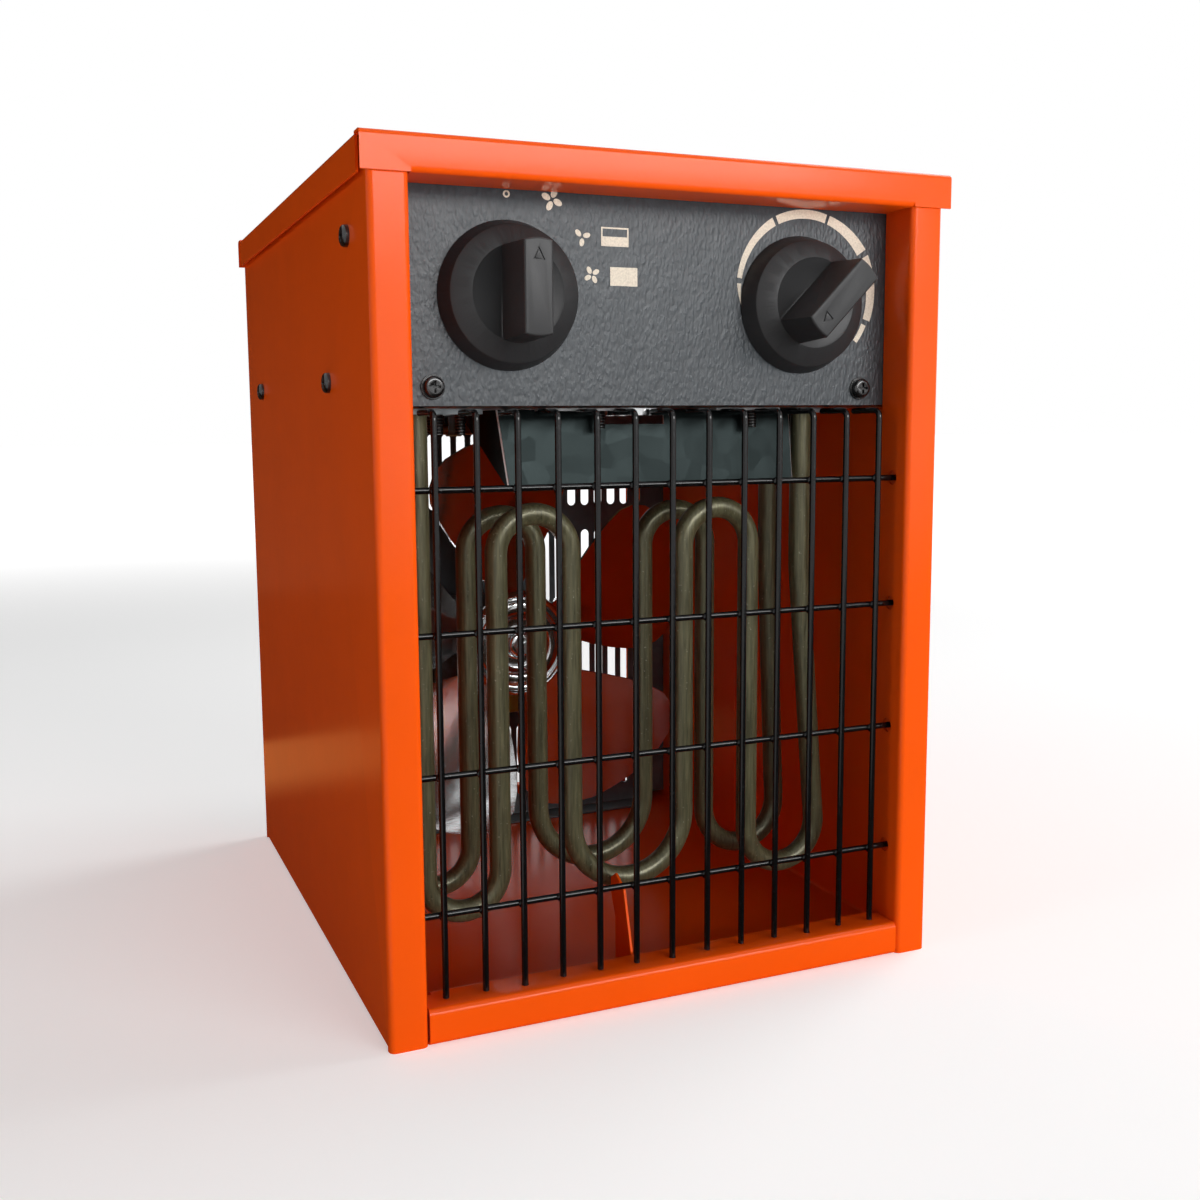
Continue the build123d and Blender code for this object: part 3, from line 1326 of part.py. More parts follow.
def internal_wires():
    """Insulated leads between the controls, the elements, the motor and the terminal block."""
    way_z = SHELF_TOP + BLOCK_HEIGHT / 2
    front_way = BLOCK_Y - BLOCK_DEPTH / 4
    rear_way = BLOCK_Y + BLOCK_DEPTH / 4
    live, middle, neutral = block_ways()
    switch_y = switch_back_y() + SWITCH_BACK + BLADE_LENGTH + WIRE_END_GAP
    thermostat_y = thermostat_back_y() + SWITCH_BACK + BLADE_LENGTH + WIRE_END_GAP
    step = SWITCH_SIZE / 4
    left = -KNOB_X - step
    right = -KNOB_X + step
    near = KNOB_X - THERMOSTAT_WIDTH / 4
    far = KNOB_X + THERMOSTAT_WIDTH / 4
    stud = SHELF_TOP + SHEATH_RISE + TERMINAL_LENGTH + WIRE_END_GAP
    over = stud + WIRE_LOOP
    front_left, front_right, rear_left, rear_right = element_ends()
    coil_z = FAN_Z - STACK_BOTTOM + LEG_HEIGHT / 2
    coil_x = COIL_HALF + BOBBIN_WALL + WIRE_END_GAP
    coil_y = STACK_REAR + COIL_BUILD / 2
    down_x, down_y = CABLE_HOLE
    routes = [
        [
            (live, front_way, way_z),
            (live, front_way - 55, way_z),
            (left, switch_y + 50, KNOB_Z - step),
            (left, switch_y, KNOB_Z - step),
        ],
        [
            (right, switch_y, KNOB_Z),
            (right, switch_y + 34, KNOB_Z),
            (near, switch_y + 34, KNOB_Z),
            (near, thermostat_y, KNOB_Z),
        ],
        [
            (far, thermostat_y, KNOB_Z),
            (far, thermostat_y + 60, KNOB_Z),
            (neutral, front_way - 40, way_z),
            (neutral, front_way, way_z),
        ],
        [
            (left, switch_y, KNOB_Z + step),
            (left, switch_y + 26, KNOB_Z + step),
            (front_left[0], switch_y, KNOB_Z + step),
            (front_left[0], front_left[1], KNOB_Z + step),
            (front_left[0], front_left[1], stud),
        ],
        [
            (right, switch_y, KNOB_Z + step),
            (right, switch_y + 48, KNOB_Z + step),
            (rear_left[0], switch_y + 48, over),
            (rear_left[0], rear_left[1], over),
            (rear_left[0], rear_left[1], stud),
        ],
        [
            (middle, front_way, way_z),
            (middle, front_way - 55, way_z),
            (rear_right[0], rear_right[1] + 30, over),
            (rear_right[0], rear_right[1], over),
            (rear_right[0], rear_right[1], stud),
        ],
        [
            (live, rear_way, way_z),
            (live, rear_way + 12, way_z),
            (down_x, down_y, way_z),
            (down_x, down_y, coil_z + 40),
            (down_x, coil_y, coil_z),
            (coil_x, coil_y, coil_z),
        ],
    ]
    return [swept(FilletPolyline(*route, radius=WIRE_BEND), WIRE_COVER_D) for route in routes]


def side_screws():
    pieces = []
    for y, z in side_screw_places():
        for sign, facing in ((-1, FACING_LEFT), (1, FACING_RIGHT)):
            body = screw(SCREW_D, SIDE_SCREW_LENGTH, SCREW_HEAD_D, SCREW_HEAD_H)
            pieces.append(Pos(sign * HALF, y, z) * facing * body)
    return pieces


def panel_screws():
    pieces = []
    for sign in (-1, 1):
        body = screw(SCREW_D, PANEL_SCREW_LENGTH, SCREW_HEAD_D, SCREW_HEAD_H)
        place = Pos(sign * PANEL_SCREW_X, PANEL_Y - WASHER_H, SHELF_Z + PANEL_SCREW_RISE)
        pieces.append(place * FACING_FRONT * body)
    return pieces


def panel_washers():
    pieces = []
    for sign in (-1, 1):
        x = sign * PANEL_SCREW_X
        z = SHELF_Z + PANEL_SCREW_RISE
        ring = rod_y(x, z, (PANEL_Y - WASHER_H, PANEL_Y), WASHER_D)
        pieces.append(ring - rod_y(x, z, (PANEL_Y - 2, PANEL_Y + 1), SCREW_D + 2 * SCREW_FIT))
    return pieces


def rear_facing_screws(x, y, z, length):
    pieces = []
    for sign in (-1, 1):
        body = screw(SCREW_D, length, SCREW_HEAD_D, SCREW_HEAD_H)
        pieces.append(Pos(sign * x, y, z) * FACING_REAR * body)
    return pieces


def save(name, shape):
    """Write one node, with its front face moved so that the origin is under the middle."""
    pieces = shape if isinstance(shape, list) else [shape]
    moved = [Pos(0, -ORIGIN_Y, 0) * piece for piece in pieces]
    solids = [solid for piece in moved for solid in piece.solids()]
    node = solids[0] if len(solids) == 1 else Compound(children=solids)
    export_step(node, f"parts/{name}.step")


def main():
    os.makedirs("parts", exist_ok=True)
    save("body_shell", body_shell())
    save("top_cover", top_cover())
    save("control_panel", control_panel())
    save("divider_shelf", divider_shelf())
    save("rear_panel", rear_panel())
    save("element_rest", element_rest())
    save("grille_upright_wires", upright_wires())
    save("grille_cross_wires", cross_wires())
    front_row, rear_row = element_rows()
    save("heating_element_front", element(*front_row))
    save("heating_element_rear", element(*rear_row))
    save("element_flanges", element_flanges())
    save("element_flange_screws", shelf_screws(flange_screw_places(), FLANGE_SCREW_REACH + FLANGE_SHEET))
    save("element_insulators", element_insulators())
    save("element_terminals", element_terminals())
    save("air_baffle", air_baffle())
    save("baffle_screws", shelf_screws(baffle_screw_places(), FLANGE_SCREW_REACH))
    save("cutout_cap", cutout_cap())
    save("cutout_body", cutout_body())
    save("cutout_terminals", cutout_terminals())
    save("switch_knob", knob(-KNOB_X, 0))
    save("thermostat_knob", knob(KNOB_X, THERMOSTAT_START))
    cam_end = PANEL_BACK + CONTROL_SCREW_LENGTH + KNOB_WALL + CAM_LENGTH + 1
    save("switch_shaft", control_shaft(-KNOB_X, cam_end))
    save("thermostat_shaft", control_shaft(KNOB_X, thermostat_back_y() - BELLOWS_H - SHEET_GAP))
    save("switch_cam", switch_cam())
    save("switch_housing", control_housing(-KNOB_X, SWITCH_SIZE, SWITCH_SIZE, SWITCH_DEPTH, SWITCH_WALL))
    save("switch_back", back_plate(-KNOB_X, SWITCH_SIZE, SWITCH_SIZE, switch_back_y()))
    contact_y = switch_back_y() + SWITCH_BACK
    save("switch_terminals", terminal_blades(-KNOB_X, contact_y, switch_terminal_offsets()))
    housing = control_housing(KNOB_X, THERMOSTAT_WIDTH, THERMOSTAT_HEIGHT, THERMOSTAT_DEPTH, SWITCH_WALL)
    save("thermostat_housing", housing)
    save("thermostat_back", back_plate(KNOB_X, THERMOSTAT_WIDTH, THERMOSTAT_HEIGHT, thermostat_back_y()))
    contact_y = thermostat_back_y() + SWITCH_BACK
    save("thermostat_terminals", terminal_blades(KNOB_X, contact_y, thermostat_terminal_offsets()))
    save("thermostat_bellows", thermostat_bellows())
    save("capillary_tube", capillary_tube())
    save("sensor_bulb", sensor_bulb())
    save("bulb_clips", bulb_clips())
    rings = [grommet(capillary_hole(), GROMMET_D, GROMMET_HOLE_D, GROMMET_BORE)]
    rings.append(grommet(CABLE_HOLE, CABLE_GROMMET_D, CABLE_GROMMET_HOLE_D, CABLE_GROMMET_BORE))
    save("shelf_grommets", rings)
    save("control_screws", control_screws())
    save("impeller", impeller())
    save("fan_shaft", fan_shaft())
    save("hub_nut", hub_nut())
    save("motor_rotor", motor_rotor())
    save("motor_stator", motor_stator())
    save("motor_bobbin", motor_bobbin())
    save("motor_coil", motor_coil())
    save("motor_front_bracket", motor_bracket(STACK_FRONT, -1))
    save("motor_rear_bracket", motor_bracket(STACK_REAR, 1))
    save("motor_bearings", motor_bearings())
    save("motor_screws", motor_screws())
    save("motor_spacers", motor_spacers())
    save("motor_nuts", motor_nuts())
    save("cable_gland", cable_gland())
    save("gland_locknut", gland_locknut())
    save("terminal_block", terminal_block())
    save("block_screws", block_screws())
    save("earth_screw", earth_screw())
    save("internal_wires", internal_wires())
    save("side_screws", side_screws())
    save("panel_screws", panel_screws())
    save("panel_washers", panel_washers())
    rear = BODY_DEPTH + COVER_END_OVERHANG
    save("cover_screws", rear_facing_screws(cover_screw_x(), rear, cover_screw_z(), PANEL_SCREW_LENGTH))
    shelf_z = SHELF_Z + SHELF_SCREW_RISE
    save("shelf_rear_screws", rear_facing_screws(SHELF_SCREW_X, REAR_BACK, shelf_z, PANEL_SCREW_LENGTH))


if __name__ == "__main__":
    main()
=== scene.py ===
"""Builds the looks of a greenhouse fan heater around its CAD frame: casing, grille, elements, fan and controls."""

import math

import bmesh
import bpy
from bpy.props import FloatProperty, FloatVectorProperty, IntProperty, PointerProperty
from mathutils import Matrix, Vector


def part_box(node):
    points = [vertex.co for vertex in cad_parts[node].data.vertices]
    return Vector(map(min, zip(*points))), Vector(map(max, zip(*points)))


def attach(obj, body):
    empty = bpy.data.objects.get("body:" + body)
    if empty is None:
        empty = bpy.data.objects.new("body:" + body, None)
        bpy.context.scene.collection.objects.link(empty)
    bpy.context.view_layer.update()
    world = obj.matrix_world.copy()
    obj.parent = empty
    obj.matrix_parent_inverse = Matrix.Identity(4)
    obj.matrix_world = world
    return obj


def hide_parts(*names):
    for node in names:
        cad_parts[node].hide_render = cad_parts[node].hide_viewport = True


bl_info = {
    "name": "Greenhouse Fan Heater",
    "version": (1, 0, 0),
    "blender": (4, 5, 0),
    "location": "View3D > Sidebar > Heater",
    "description": "Builds the casing, grille, elements, fan and controls of a greenhouse fan heater",
    "category": "Add Mesh",
}

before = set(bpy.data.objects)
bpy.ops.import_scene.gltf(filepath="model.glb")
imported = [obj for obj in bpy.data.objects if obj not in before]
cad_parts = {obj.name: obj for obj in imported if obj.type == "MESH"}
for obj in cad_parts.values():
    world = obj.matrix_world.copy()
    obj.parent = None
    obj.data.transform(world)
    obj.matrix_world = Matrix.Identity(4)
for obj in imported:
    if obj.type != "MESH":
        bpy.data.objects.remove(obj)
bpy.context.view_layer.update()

# Pieces are drawn in millimetres: X from the middle, Y back from the casing's front face, Z up from the floor.
MM = 0.001
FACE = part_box("body_shell")[0].y
TO_FRAME = Matrix.Translation((0, FACE, 0)) @ Matrix.Scale(MM, 4)

UPRIGHT = Matrix.Rotation(math.radians(90), 4, "X")  # stands a flat shape up, facing the front or back
COAT_EDGE, PANEL_EDGE, KNOB_EDGE, SCREW_EDGE = 0.22, 0.2, 0.3, 0.15  # how far sharp edges are broken
CUT_EDGE = 1.3  # a sheet's face narrower than this is its cut edge

# Sockets of the Mix node when it mixes colours
MIX_SHARE, MIX_A, MIX_B, MIX_RESULT = 0, 6, 7, 2


def linear(colour):
    """An sRGB hex colour as linear values, with a full alpha."""
    parts = [int(colour[i : i + 2], 16) / 255 for i in (0, 2, 4)]
    return [p / 12.92 if p <= 0.04045 else ((p + 0.055) / 1.055) ** 2.4 for p in parts] + [1.0]


def per(millimetres):
    """The texture scale whose features are about that size on Object coordinates, which are in metres."""
    return 1 / (millimetres * MM)


def waves(millimetres):
    """The scale of a Wave texture whose bands are that far apart."""
    return math.tau * per(millimetres) / 20


def node(tree, kind, inputs=(), **settings):
    """Adds a node with its settings; inputs gives each socket a value or the output that feeds it."""
    made = tree.nodes.new(kind)
    for name, value in settings.items():
        setattr(made, name, value)
    for key, value in dict(inputs).items():
        if isinstance(value, bpy.types.NodeSocket):
            tree.links.new(value, made.inputs[key])
        else:
            made.inputs[key].default_value = value
    return made


def mixed_colour(tree, share, first, second):
    """A blend of two colours; the share is the second one's."""
    sockets = {MIX_SHARE: share, MIX_A: first, MIX_B: second}
    return node(tree, "ShaderNodeMix", sockets, data_type="RGBA").outputs[MIX_RESULT]


def start_material(name):
    """An empty material, its tree and the Object coordinates."""
    made = bpy.data.materials.new(name)
    made.use_nodes = True
    tree = made.node_tree
    tree.nodes.clear()
    return made, tree, node(tree, "ShaderNodeTexCoord").outputs["Object"]


def finish_material(made, tree, colour, rough, bump, more=()):
    """Adds the shader and the output; more gives the shader's other sockets."""
    inputs = {"Base Color": colour, "Roughness": rough, "Normal": bump.outputs["Normal"], **dict(more)}
    shader = node(tree, "ShaderNodeBsdfPrincipled", inputs)
    node(tree, "ShaderNodeOutputMaterial", {"Surface": shader.outputs[0]})
    return made


# Materials -----------------------------------------------------------------------------------------------------------


def gloss_powder_coat(colour, peel):
    # Polyester powder coat, sprayed and baked to a gloss. The eye gets an even, saturated colour, sharp
    # reflections that waver on an orange peel about 3 mm across, and faint hazy patches from handling.
    made, tree, place = start_material("gloss polyester powder coat")
    cloud = node(tree, "ShaderNodeTexNoise", {"Vector": place, "Scale": per(40), "Detail": 3.0})
    depth = node(tree, "ShaderNodeMapRange", {"Value": cloud.outputs["Fac"], "To Min": 0.94, "To Max": 1.05})
    tint = node(tree, "ShaderNodeHueSaturation", {"Color": colour, "Value": depth.outputs["Result"]})
    haze = node(tree, "ShaderNodeTexNoise", {"Vector": place, "Scale": per(14), "Detail": 4.0, "Roughness": 0.6})
    gloss = node(tree, "ShaderNodeMapRange", {"Value": haze.outputs["Fac"], "To Min": 0.13, "To Max": 0.24})
    ripple = node(tree, "ShaderNodeTexNoise", {"Vector": place, "Scale": per(3.2), "Detail": 1.0, "Roughness": 0.4})
    bump = node(tree, "ShaderNodeBump", {"Height": ripple.outputs["Fac"], "Distance": peel, "Strength": 0.5})
    return finish_material(
        made, tree, tint.outputs["Color"], gloss.outputs["Result"], bump, {"Specular IOR Level": 0.16}
    )


def wrinkle_powder_coat(colour):
    # Epoxy powder coat of the fine-wrinkle kind, which shrinks in the oven. Its crinkles are about 0.5 mm across and
    # are drawn at 1.1 mm so that they show, and longer upwards. Their tops are painted lighter and their furrows
    # darker, a painted highlight and painted shade, and they break a reflection into a grey sheen.
    made, tree, place = start_material("fine-wrinkle epoxy powder coat")
    bend = node(tree, "ShaderNodeTexNoise", {"Vector": place, "Scale": per(2.5), "Detail": 1.0})
    drawn = node(tree, "ShaderNodeMapping", {"Vector": place, "Scale": (1.0, 1.0, 0.45)})
    reach = (1.2 * MM,) * 3
    moved = node(tree, "ShaderNodeVectorMath", {0: bend.outputs["Color"], 1: reach}, operation="MULTIPLY")
    twisted = node(tree, "ShaderNodeVectorMath", {0: drawn.outputs[0], 1: moved.outputs[0]}, operation="ADD")
    crinkle = node(tree, "ShaderNodeTexVoronoi", {"Vector": twisted.outputs[0], "Scale": per(1.1)}, feature="SMOOTH_F1")
    # Painted highlight and shade: the crinkles' tops are coloured lighter and their furrows darker
    rise = node(tree, "ShaderNodeMapRange", {"Value": crinkle.outputs["Distance"], "To Min": 1.28, "To Max": 0.68})
    tint = node(tree, "ShaderNodeHueSaturation", {"Color": colour, "Value": rise.outputs["Result"]})
    worn = node(tree, "ShaderNodeTexNoise", {"Vector": place, "Scale": per(9), "Detail": 5.0})
    gloss = node(tree, "ShaderNodeMapRange", {"Value": worn.outputs["Fac"], "To Min": 0.4, "To Max": 0.54})
    rough_height = {"Height": crinkle.outputs["Distance"], "Distance": 0.0003, "Strength": 0.85}
    bump = node(tree, "ShaderNodeBump", rough_height, invert=True)
    return finish_material(made, tree, tint.outputs["Color"], gloss.outputs["Result"], bump)


def screen_ink(colour):
    # Cream ink, screen printed on the wrinkle coat. It follows the crinkles and is thin in small patches.
    made, tree, place = start_material("screen-printed cream ink")
    crinkle = node(tree, "ShaderNodeTexVoronoi", {"Vector": place, "Scale": per(1.1)}, feature="SMOOTH_F1")
    thin = node(tree, "ShaderNodeTexNoise", {"Vector": place, "Scale": per(0.8), "Detail": 4.0})
    share = node(tree, "ShaderNodeMapRange", {"Value": thin.outputs["Fac"], "From Min": 0.35, "From Max": 0.75})
    tint = mixed_colour(tree, share.outputs["Result"], colour, linear("C9BDAA"))
    soft_height = {"Height": crinkle.outputs["Distance"], "Distance": 0.0001, "Strength": 0.4}
    bump = node(tree, "ShaderNodeBump", soft_height, invert=True)
    return finish_material(made, tree, tint, 0.5, bump)


def moulded_plastic(name, colour, rough, grain):
    # Injection-moulded plastic from a spark-eroded tool. The grain is 0.2 mm in the real one and is drawn larger so
    # that it shows. It makes a soft matt sheen, with smoother patches where hands rub it.
    made, tree, place = start_material(name)
    pits = node(tree, "ShaderNodeTexNoise", {"Vector": place, "Scale": per(grain), "Detail": 2.0, "Roughness": 0.6})
    rubbed = node(tree, "ShaderNodeTexNoise", {"Vector": place, "Scale": per(11), "Detail": 3.0})
    gloss = node(
        tree, "ShaderNodeMapRange", {"Value": rubbed.outputs["Fac"], "To Min": rough - 0.09, "To Max": rough + 0.09}
    )
    shade = node(tree, "ShaderNodeMapRange", {"Value": pits.outputs["Fac"], "To Min": 0.86, "To Max": 1.14})
    tint = node(tree, "ShaderNodeHueSaturation", {"Color": colour, "Value": shade.outputs["Result"]})
    bump = node(tree, "ShaderNodeBump", {"Height": pits.outputs["Fac"], "Distance": 0.00004, "Strength": 0.6})
    return finish_material(
        made, tree, tint.outputs["Color"], gloss.outputs["Result"], bump, {"Specular IOR Level": 0.3}
    )


def dipped_wire_coat(colour):
    # Black powder coat on drawn wire. It is smooth and satin, slightly lumpy where the coat gathered, so each wire
    # carries one narrow highlight that wavers along it.
    made, tree, place = start_material("satin black powder coat on wire")
    lumps = node(tree, "ShaderNodeTexNoise", {"Vector": place, "Scale": per(4), "Detail": 2.0})
    dust = node(tree, "ShaderNodeTexNoise", {"Vector": place, "Scale": per(0.7), "Detail": 2.0})
    grey = node(tree, "ShaderNodeMapRange", {"Value": dust.outputs["Fac"], "From Min": 0.62, "From Max": 0.74})
    tint = mixed_colour(tree, grey.outputs["Result"], colour, linear("2A2B2C"))
    gloss = node(tree, "ShaderNodeMapRange", {"Value": lumps.outputs["Fac"], "To Min": 0.12, "To Max": 0.24})
    bump = node(tree, "ShaderNodeBump", {"Height": lumps.outputs["Fac"], "Distance": 0.00012, "Strength": 0.4})
    return finish_material(made, tree, tint, gloss.outputs["Result"], bump, {"Specular IOR Level": 0.35})


def galvanised_sheet(name, colour, rough):
    # Hot-dip galvanised steel sheet. The zinc froze in crystals about 9 mm across, each with its own grey and gloss,
    # under a thin film that has dulled in spots.
    made, tree, place = start_material(name)
    crystal = node(tree, "ShaderNodeTexVoronoi", {"Vector": place, "Scale": per(9)})
    grey = node(tree, "ShaderNodeSeparateColor", {0: crystal.outputs["Color"]})
    film = node(tree, "ShaderNodeTexNoise", {"Vector": place, "Scale": per(2), "Detail": 5.0, "Roughness": 0.7})
    mixed = node(tree, "ShaderNodeMath", {0: grey.outputs[0], 1: film.outputs["Fac"]}, operation="MULTIPLY")
    shade = node(
        tree, "ShaderNodeMapRange", {"Value": mixed.outputs[0], "From Max": 0.7, "To Min": 0.86, "To Max": 1.08}
    )
    tint = node(tree, "ShaderNodeHueSaturation", {"Color": colour, "Value": shade.outputs["Result"]})
    gloss = node(tree, "ShaderNodeMapRange", {"Value": grey.outputs[1], "To Min": rough, "To Max": rough + 0.12})
    bump = node(tree, "ShaderNodeBump", {"Height": mixed.outputs[0], "Distance": 0.00003, "Strength": 0.4})
    return finish_material(made, tree, tint.outputs["Color"], gloss.outputs["Result"], bump, {"Metallic": 1.0})


def oxidised_sheath(colour):
    # Nickel alloy sheath, drawn and then oxidised in a furnace to an olive grey. The film is satin with lighter
    # rubbed streaks and specks of spilt filling. Its lengthwise drawing lines are finer in the real one, and are drawn
    # 1.1 mm apart so that they show.
    made, tree, place = start_material("oxidised nickel alloy sheath")
    stretched = node(tree, "ShaderNodeMapping", {"Vector": place, "Scale": (1.0, 1.0, 0.06)})
    lines = node(
        tree,
        "ShaderNodeTexNoise",
        {"Vector": stretched.outputs[0], "Scale": per(1.1), "Detail": 3.0, "Roughness": 0.65},
    )
    rubbed = node(
        tree,
        "ShaderNodeMapRange",
        {"Value": lines.outputs["Fac"], "From Min": 0.35, "From Max": 0.72, "To Min": 0.66, "To Max": 1.5},
    )
    tint = node(tree, "ShaderNodeHueSaturation", {"Color": colour, "Value": rubbed.outputs["Result"]})
    spots = node(tree, "ShaderNodeTexNoise", {"Vector": place, "Scale": per(1.3), "Detail": 3.0, "Roughness": 0.7})
    powder = node(tree, "ShaderNodeMapRange", {"Value": spots.outputs["Fac"], "From Min": 0.66, "From Max": 0.74})
    specked = mixed_colour(tree, powder.outputs["Result"], tint.outputs["Color"], linear("A7A48E"))
    gloss = node(tree, "ShaderNodeMapRange", {"Value": lines.outputs["Fac"], "To Min": 0.22, "To Max": 0.4})
    bump = node(tree, "ShaderNodeBump", {"Height": lines.outputs["Fac"], "Distance": 0.00005, "Strength": 0.5})
    return finish_material(made, tree, specked, gloss.outputs["Result"], bump, {"Metallic": 0.3})


def turned_metal(name, colour, rough, streak):
    # Turned, drawn or stamped metal parts, plated or bare. Tool marks break their gleam, and a few patches are duller
    # from handling. The marks are about 0.1 mm in the real ones and are drawn coarser so that they show.
    made, tree, place = start_material(name)
    marks = node(tree, "ShaderNodeTexNoise", {"Vector": place, "Scale": per(streak), "Detail": 4.0, "Roughness": 0.7})
    dull = node(tree, "ShaderNodeTexNoise", {"Vector": place, "Scale": per(5), "Detail": 3.0})
    shade = node(tree, "ShaderNodeMapRange", {"Value": dull.outputs["Fac"], "To Min": 0.82, "To Max": 1.08})
    tint = node(tree, "ShaderNodeHueSaturation", {"Color": colour, "Value": shade.outputs["Result"]})
    gloss = node(
        tree, "ShaderNodeMapRange", {"Value": marks.outputs["Fac"], "To Min": rough - 0.08, "To Max": rough + 0.12}
    )
    bump = node(tree, "ShaderNodeBump", {"Height": marks.outputs["Fac"], "Distance": 0.00002, "Strength": 0.4})
    return finish_material(made, tree, tint.outputs["Color"], gloss.outputs["Result"], bump, {"Metallic": 1.0})


def threaded_steel(colour):
    # Zinc-plated steel screws. Their rolled thread has a pitch of 0.7 mm, drawn at 1.2 mm so that it shows. The grooves
    # are painted darker than the crests, a painted shade along the thread.
    made, tree, place = start_material("threaded zinc-plated steel")
    pitch = {"Vector": place, "Scale": waves(1.2), "Distortion": 0.4}
    thread = node(tree, "ShaderNodeTexWave", pitch, bands_direction="Z")
    # Painted shade: the grooves are coloured down to a quarter of the crests' grey
    shade = node(tree, "ShaderNodeMapRange", {"Value": thread.outputs["Fac"], "To Min": 0.25, "To Max": 1.0})
    tint = node(tree, "ShaderNodeHueSaturation", {"Color": colour, "Value": shade.outputs["Result"]})
    bump = node(tree, "ShaderNodeBump", {"Height": thread.outputs["Fac"], "Distance": 0.0004, "Strength": 0.9})
    return finish_material(made, tree, tint.outputs["Color"], 0.34, bump, {"Metallic": 1.0})


def black_oxide(colour):
    # Steel screws, blacked in a hot salt bath and oiled. The film is a deep black with an oily gloss and paler,
    # slightly brown worn spots.
    made, tree, place = start_material("black oxide steel")
    oil = node(tree, "ShaderNodeTexNoise", {"Vector": place, "Scale": per(1.6), "Detail": 3.0})
    worn = node(tree, "ShaderNodeMapRange", {"Value": oil.outputs["Fac"], "From Min": 0.6, "From Max": 0.8})
    tint = mixed_colour(tree, worn.outputs["Result"], colour, linear("3A3836"))
    gloss = node(tree, "ShaderNodeMapRange", {"Value": oil.outputs["Fac"], "To Min": 0.14, "To Max": 0.34})
    bump = node(tree, "ShaderNodeBump", {"Height": oil.outputs["Fac"], "Distance": 0.00003, "Strength": 0.5})
    film = {"Metallic": 0.15, "Specular IOR Level": 0.9}
    return finish_material(made, tree, tint, gloss.outputs["Result"], bump, film)


def polished_aluminium(colour):
    # Aluminium sheet, spun and pressed, then bright dipped. It is nearly a mirror, with faint ripples from the
    # press and long rolling lines that drag each reflection. The lines are drawn 0.9 mm apart so that they show.
    made, tree, place = start_material("bright-dipped aluminium")
    rolled = node(tree, "ShaderNodeMapping", {"Vector": place, "Scale": (0.08, 1.0, 1.0)})
    lines = node(tree, "ShaderNodeTexNoise", {"Vector": rolled.outputs[0], "Scale": per(0.9), "Detail": 3.0})
    press = node(tree, "ShaderNodeTexNoise", {"Vector": place, "Scale": per(12), "Detail": 2.0})
    shade = node(tree, "ShaderNodeMapRange", {"Value": press.outputs["Fac"], "To Min": 0.9, "To Max": 1.04})
    tint = node(tree, "ShaderNodeHueSaturation", {"Color": colour, "Value": shade.outputs["Result"]})
    gloss = node(tree, "ShaderNodeMapRange", {"Value": lines.outputs["Fac"], "To Min": 0.06, "To Max": 0.2})
    sum_of_both = {0: press.outputs["Fac"], 1: 6.0, 2: lines.outputs["Fac"]}
    height = node(tree, "ShaderNodeMath", sum_of_both, operation="MULTIPLY_ADD")
    bump = node(tree, "ShaderNodeBump", {"Height": height.outputs[0], "Distance": 0.00003, "Strength": 0.5})
    return finish_material(made, tree, tint.outputs["Color"], gloss.outputs["Result"], bump, {"Metallic": 1.0})


def laminated_steel(colour):
    # Stator stack of punched electrical steel, 0.5 mm sheets pressed together along the depth. Their edges show as
    # fine lines, drawn 1 mm apart so that they show, with a varnish that has run a little brown.
    made, tree, place = start_material("laminated electrical steel")
    stack = {"Vector": place, "Scale": waves(1.0), "Distortion": 0.3}
    sheets = node(tree, "ShaderNodeTexWave", stack, bands_direction="Y")
    varnish = node(tree, "ShaderNodeTexNoise", {"Vector": place, "Scale": per(6), "Detail": 4.0})
    run = node(tree, "ShaderNodeMapRange", {"Value": varnish.outputs["Fac"], "From Min": 0.45, "From Max": 0.75})
    tint = mixed_colour(tree, run.outputs["Result"], colour, linear("55483A"))
    bump = node(tree, "ShaderNodeBump", {"Height": sheets.outputs["Fac"], "Distance": 0.00008, "Strength": 0.6})
    return finish_material(made, tree, tint, 0.42, bump, {"Metallic": 0.8})


def wound_tape(colour):
    # Polyester film tape wrapped round the coil in turns about 6 mm apart. It is glossy and amber, with an edge
    # line at each turn.
    made, tree, place = start_material("wound polyester tape")
    laps = {"Vector": place, "Scale": waves(6), "Distortion": 0.6}
    turns = node(tree, "ShaderNodeTexWave", laps, bands_direction="X", wave_profile="SAW")
    shade = node(tree, "ShaderNodeMapRange", {"Value": turns.outputs["Fac"], "To Min": 0.82, "To Max": 1.08})
    tint = node(tree, "ShaderNodeHueSaturation", {"Color": colour, "Value": shade.outputs["Result"]})
    bump = node(tree, "ShaderNodeBump", {"Height": turns.outputs["Fac"], "Distance": 0.0001, "Strength": 0.6})
    return finish_material(made, tree, tint.outputs["Color"], 0.28, bump)


def fired_ceramic(colour):
    # Steatite, pressed and fired without a glaze. It is dry and off-white with grey mineral specks.
    made, tree, place = start_material("fired steatite ceramic")
    grain = node(tree, "ShaderNodeTexNoise", {"Vector": place, "Scale": per(0.5), "Detail": 4.0, "Roughness": 0.7})
    fleck = node(tree, "ShaderNodeMapRange", {"Value": grain.outputs["Fac"], "From Min": 0.6, "From Max": 0.75})
    tint = mixed_colour(tree, fleck.outputs["Result"], colour, linear("A39A88"))
    bump = node(tree, "ShaderNodeBump", {"Height": grain.outputs["Fac"], "Distance": 0.00005, "Strength": 0.5})
    return finish_material(made, tree, tint, 0.62, bump)


# Settings ------------------------------------------------------------------------------------------------------------


class CasingSettings(bpy.types.PropertyGroup):
    coat: FloatVectorProperty(
        name="Coat colour", description="Powder coat of the casing and cover", subtype="COLOR", size=4, min=0, max=1,
        default=linear("F8580A"),
    )
    peel: FloatProperty(
        name="Orange peel", description="Depth of the coat's ripple", unit="LENGTH", default=0.00004, precision=6
    )


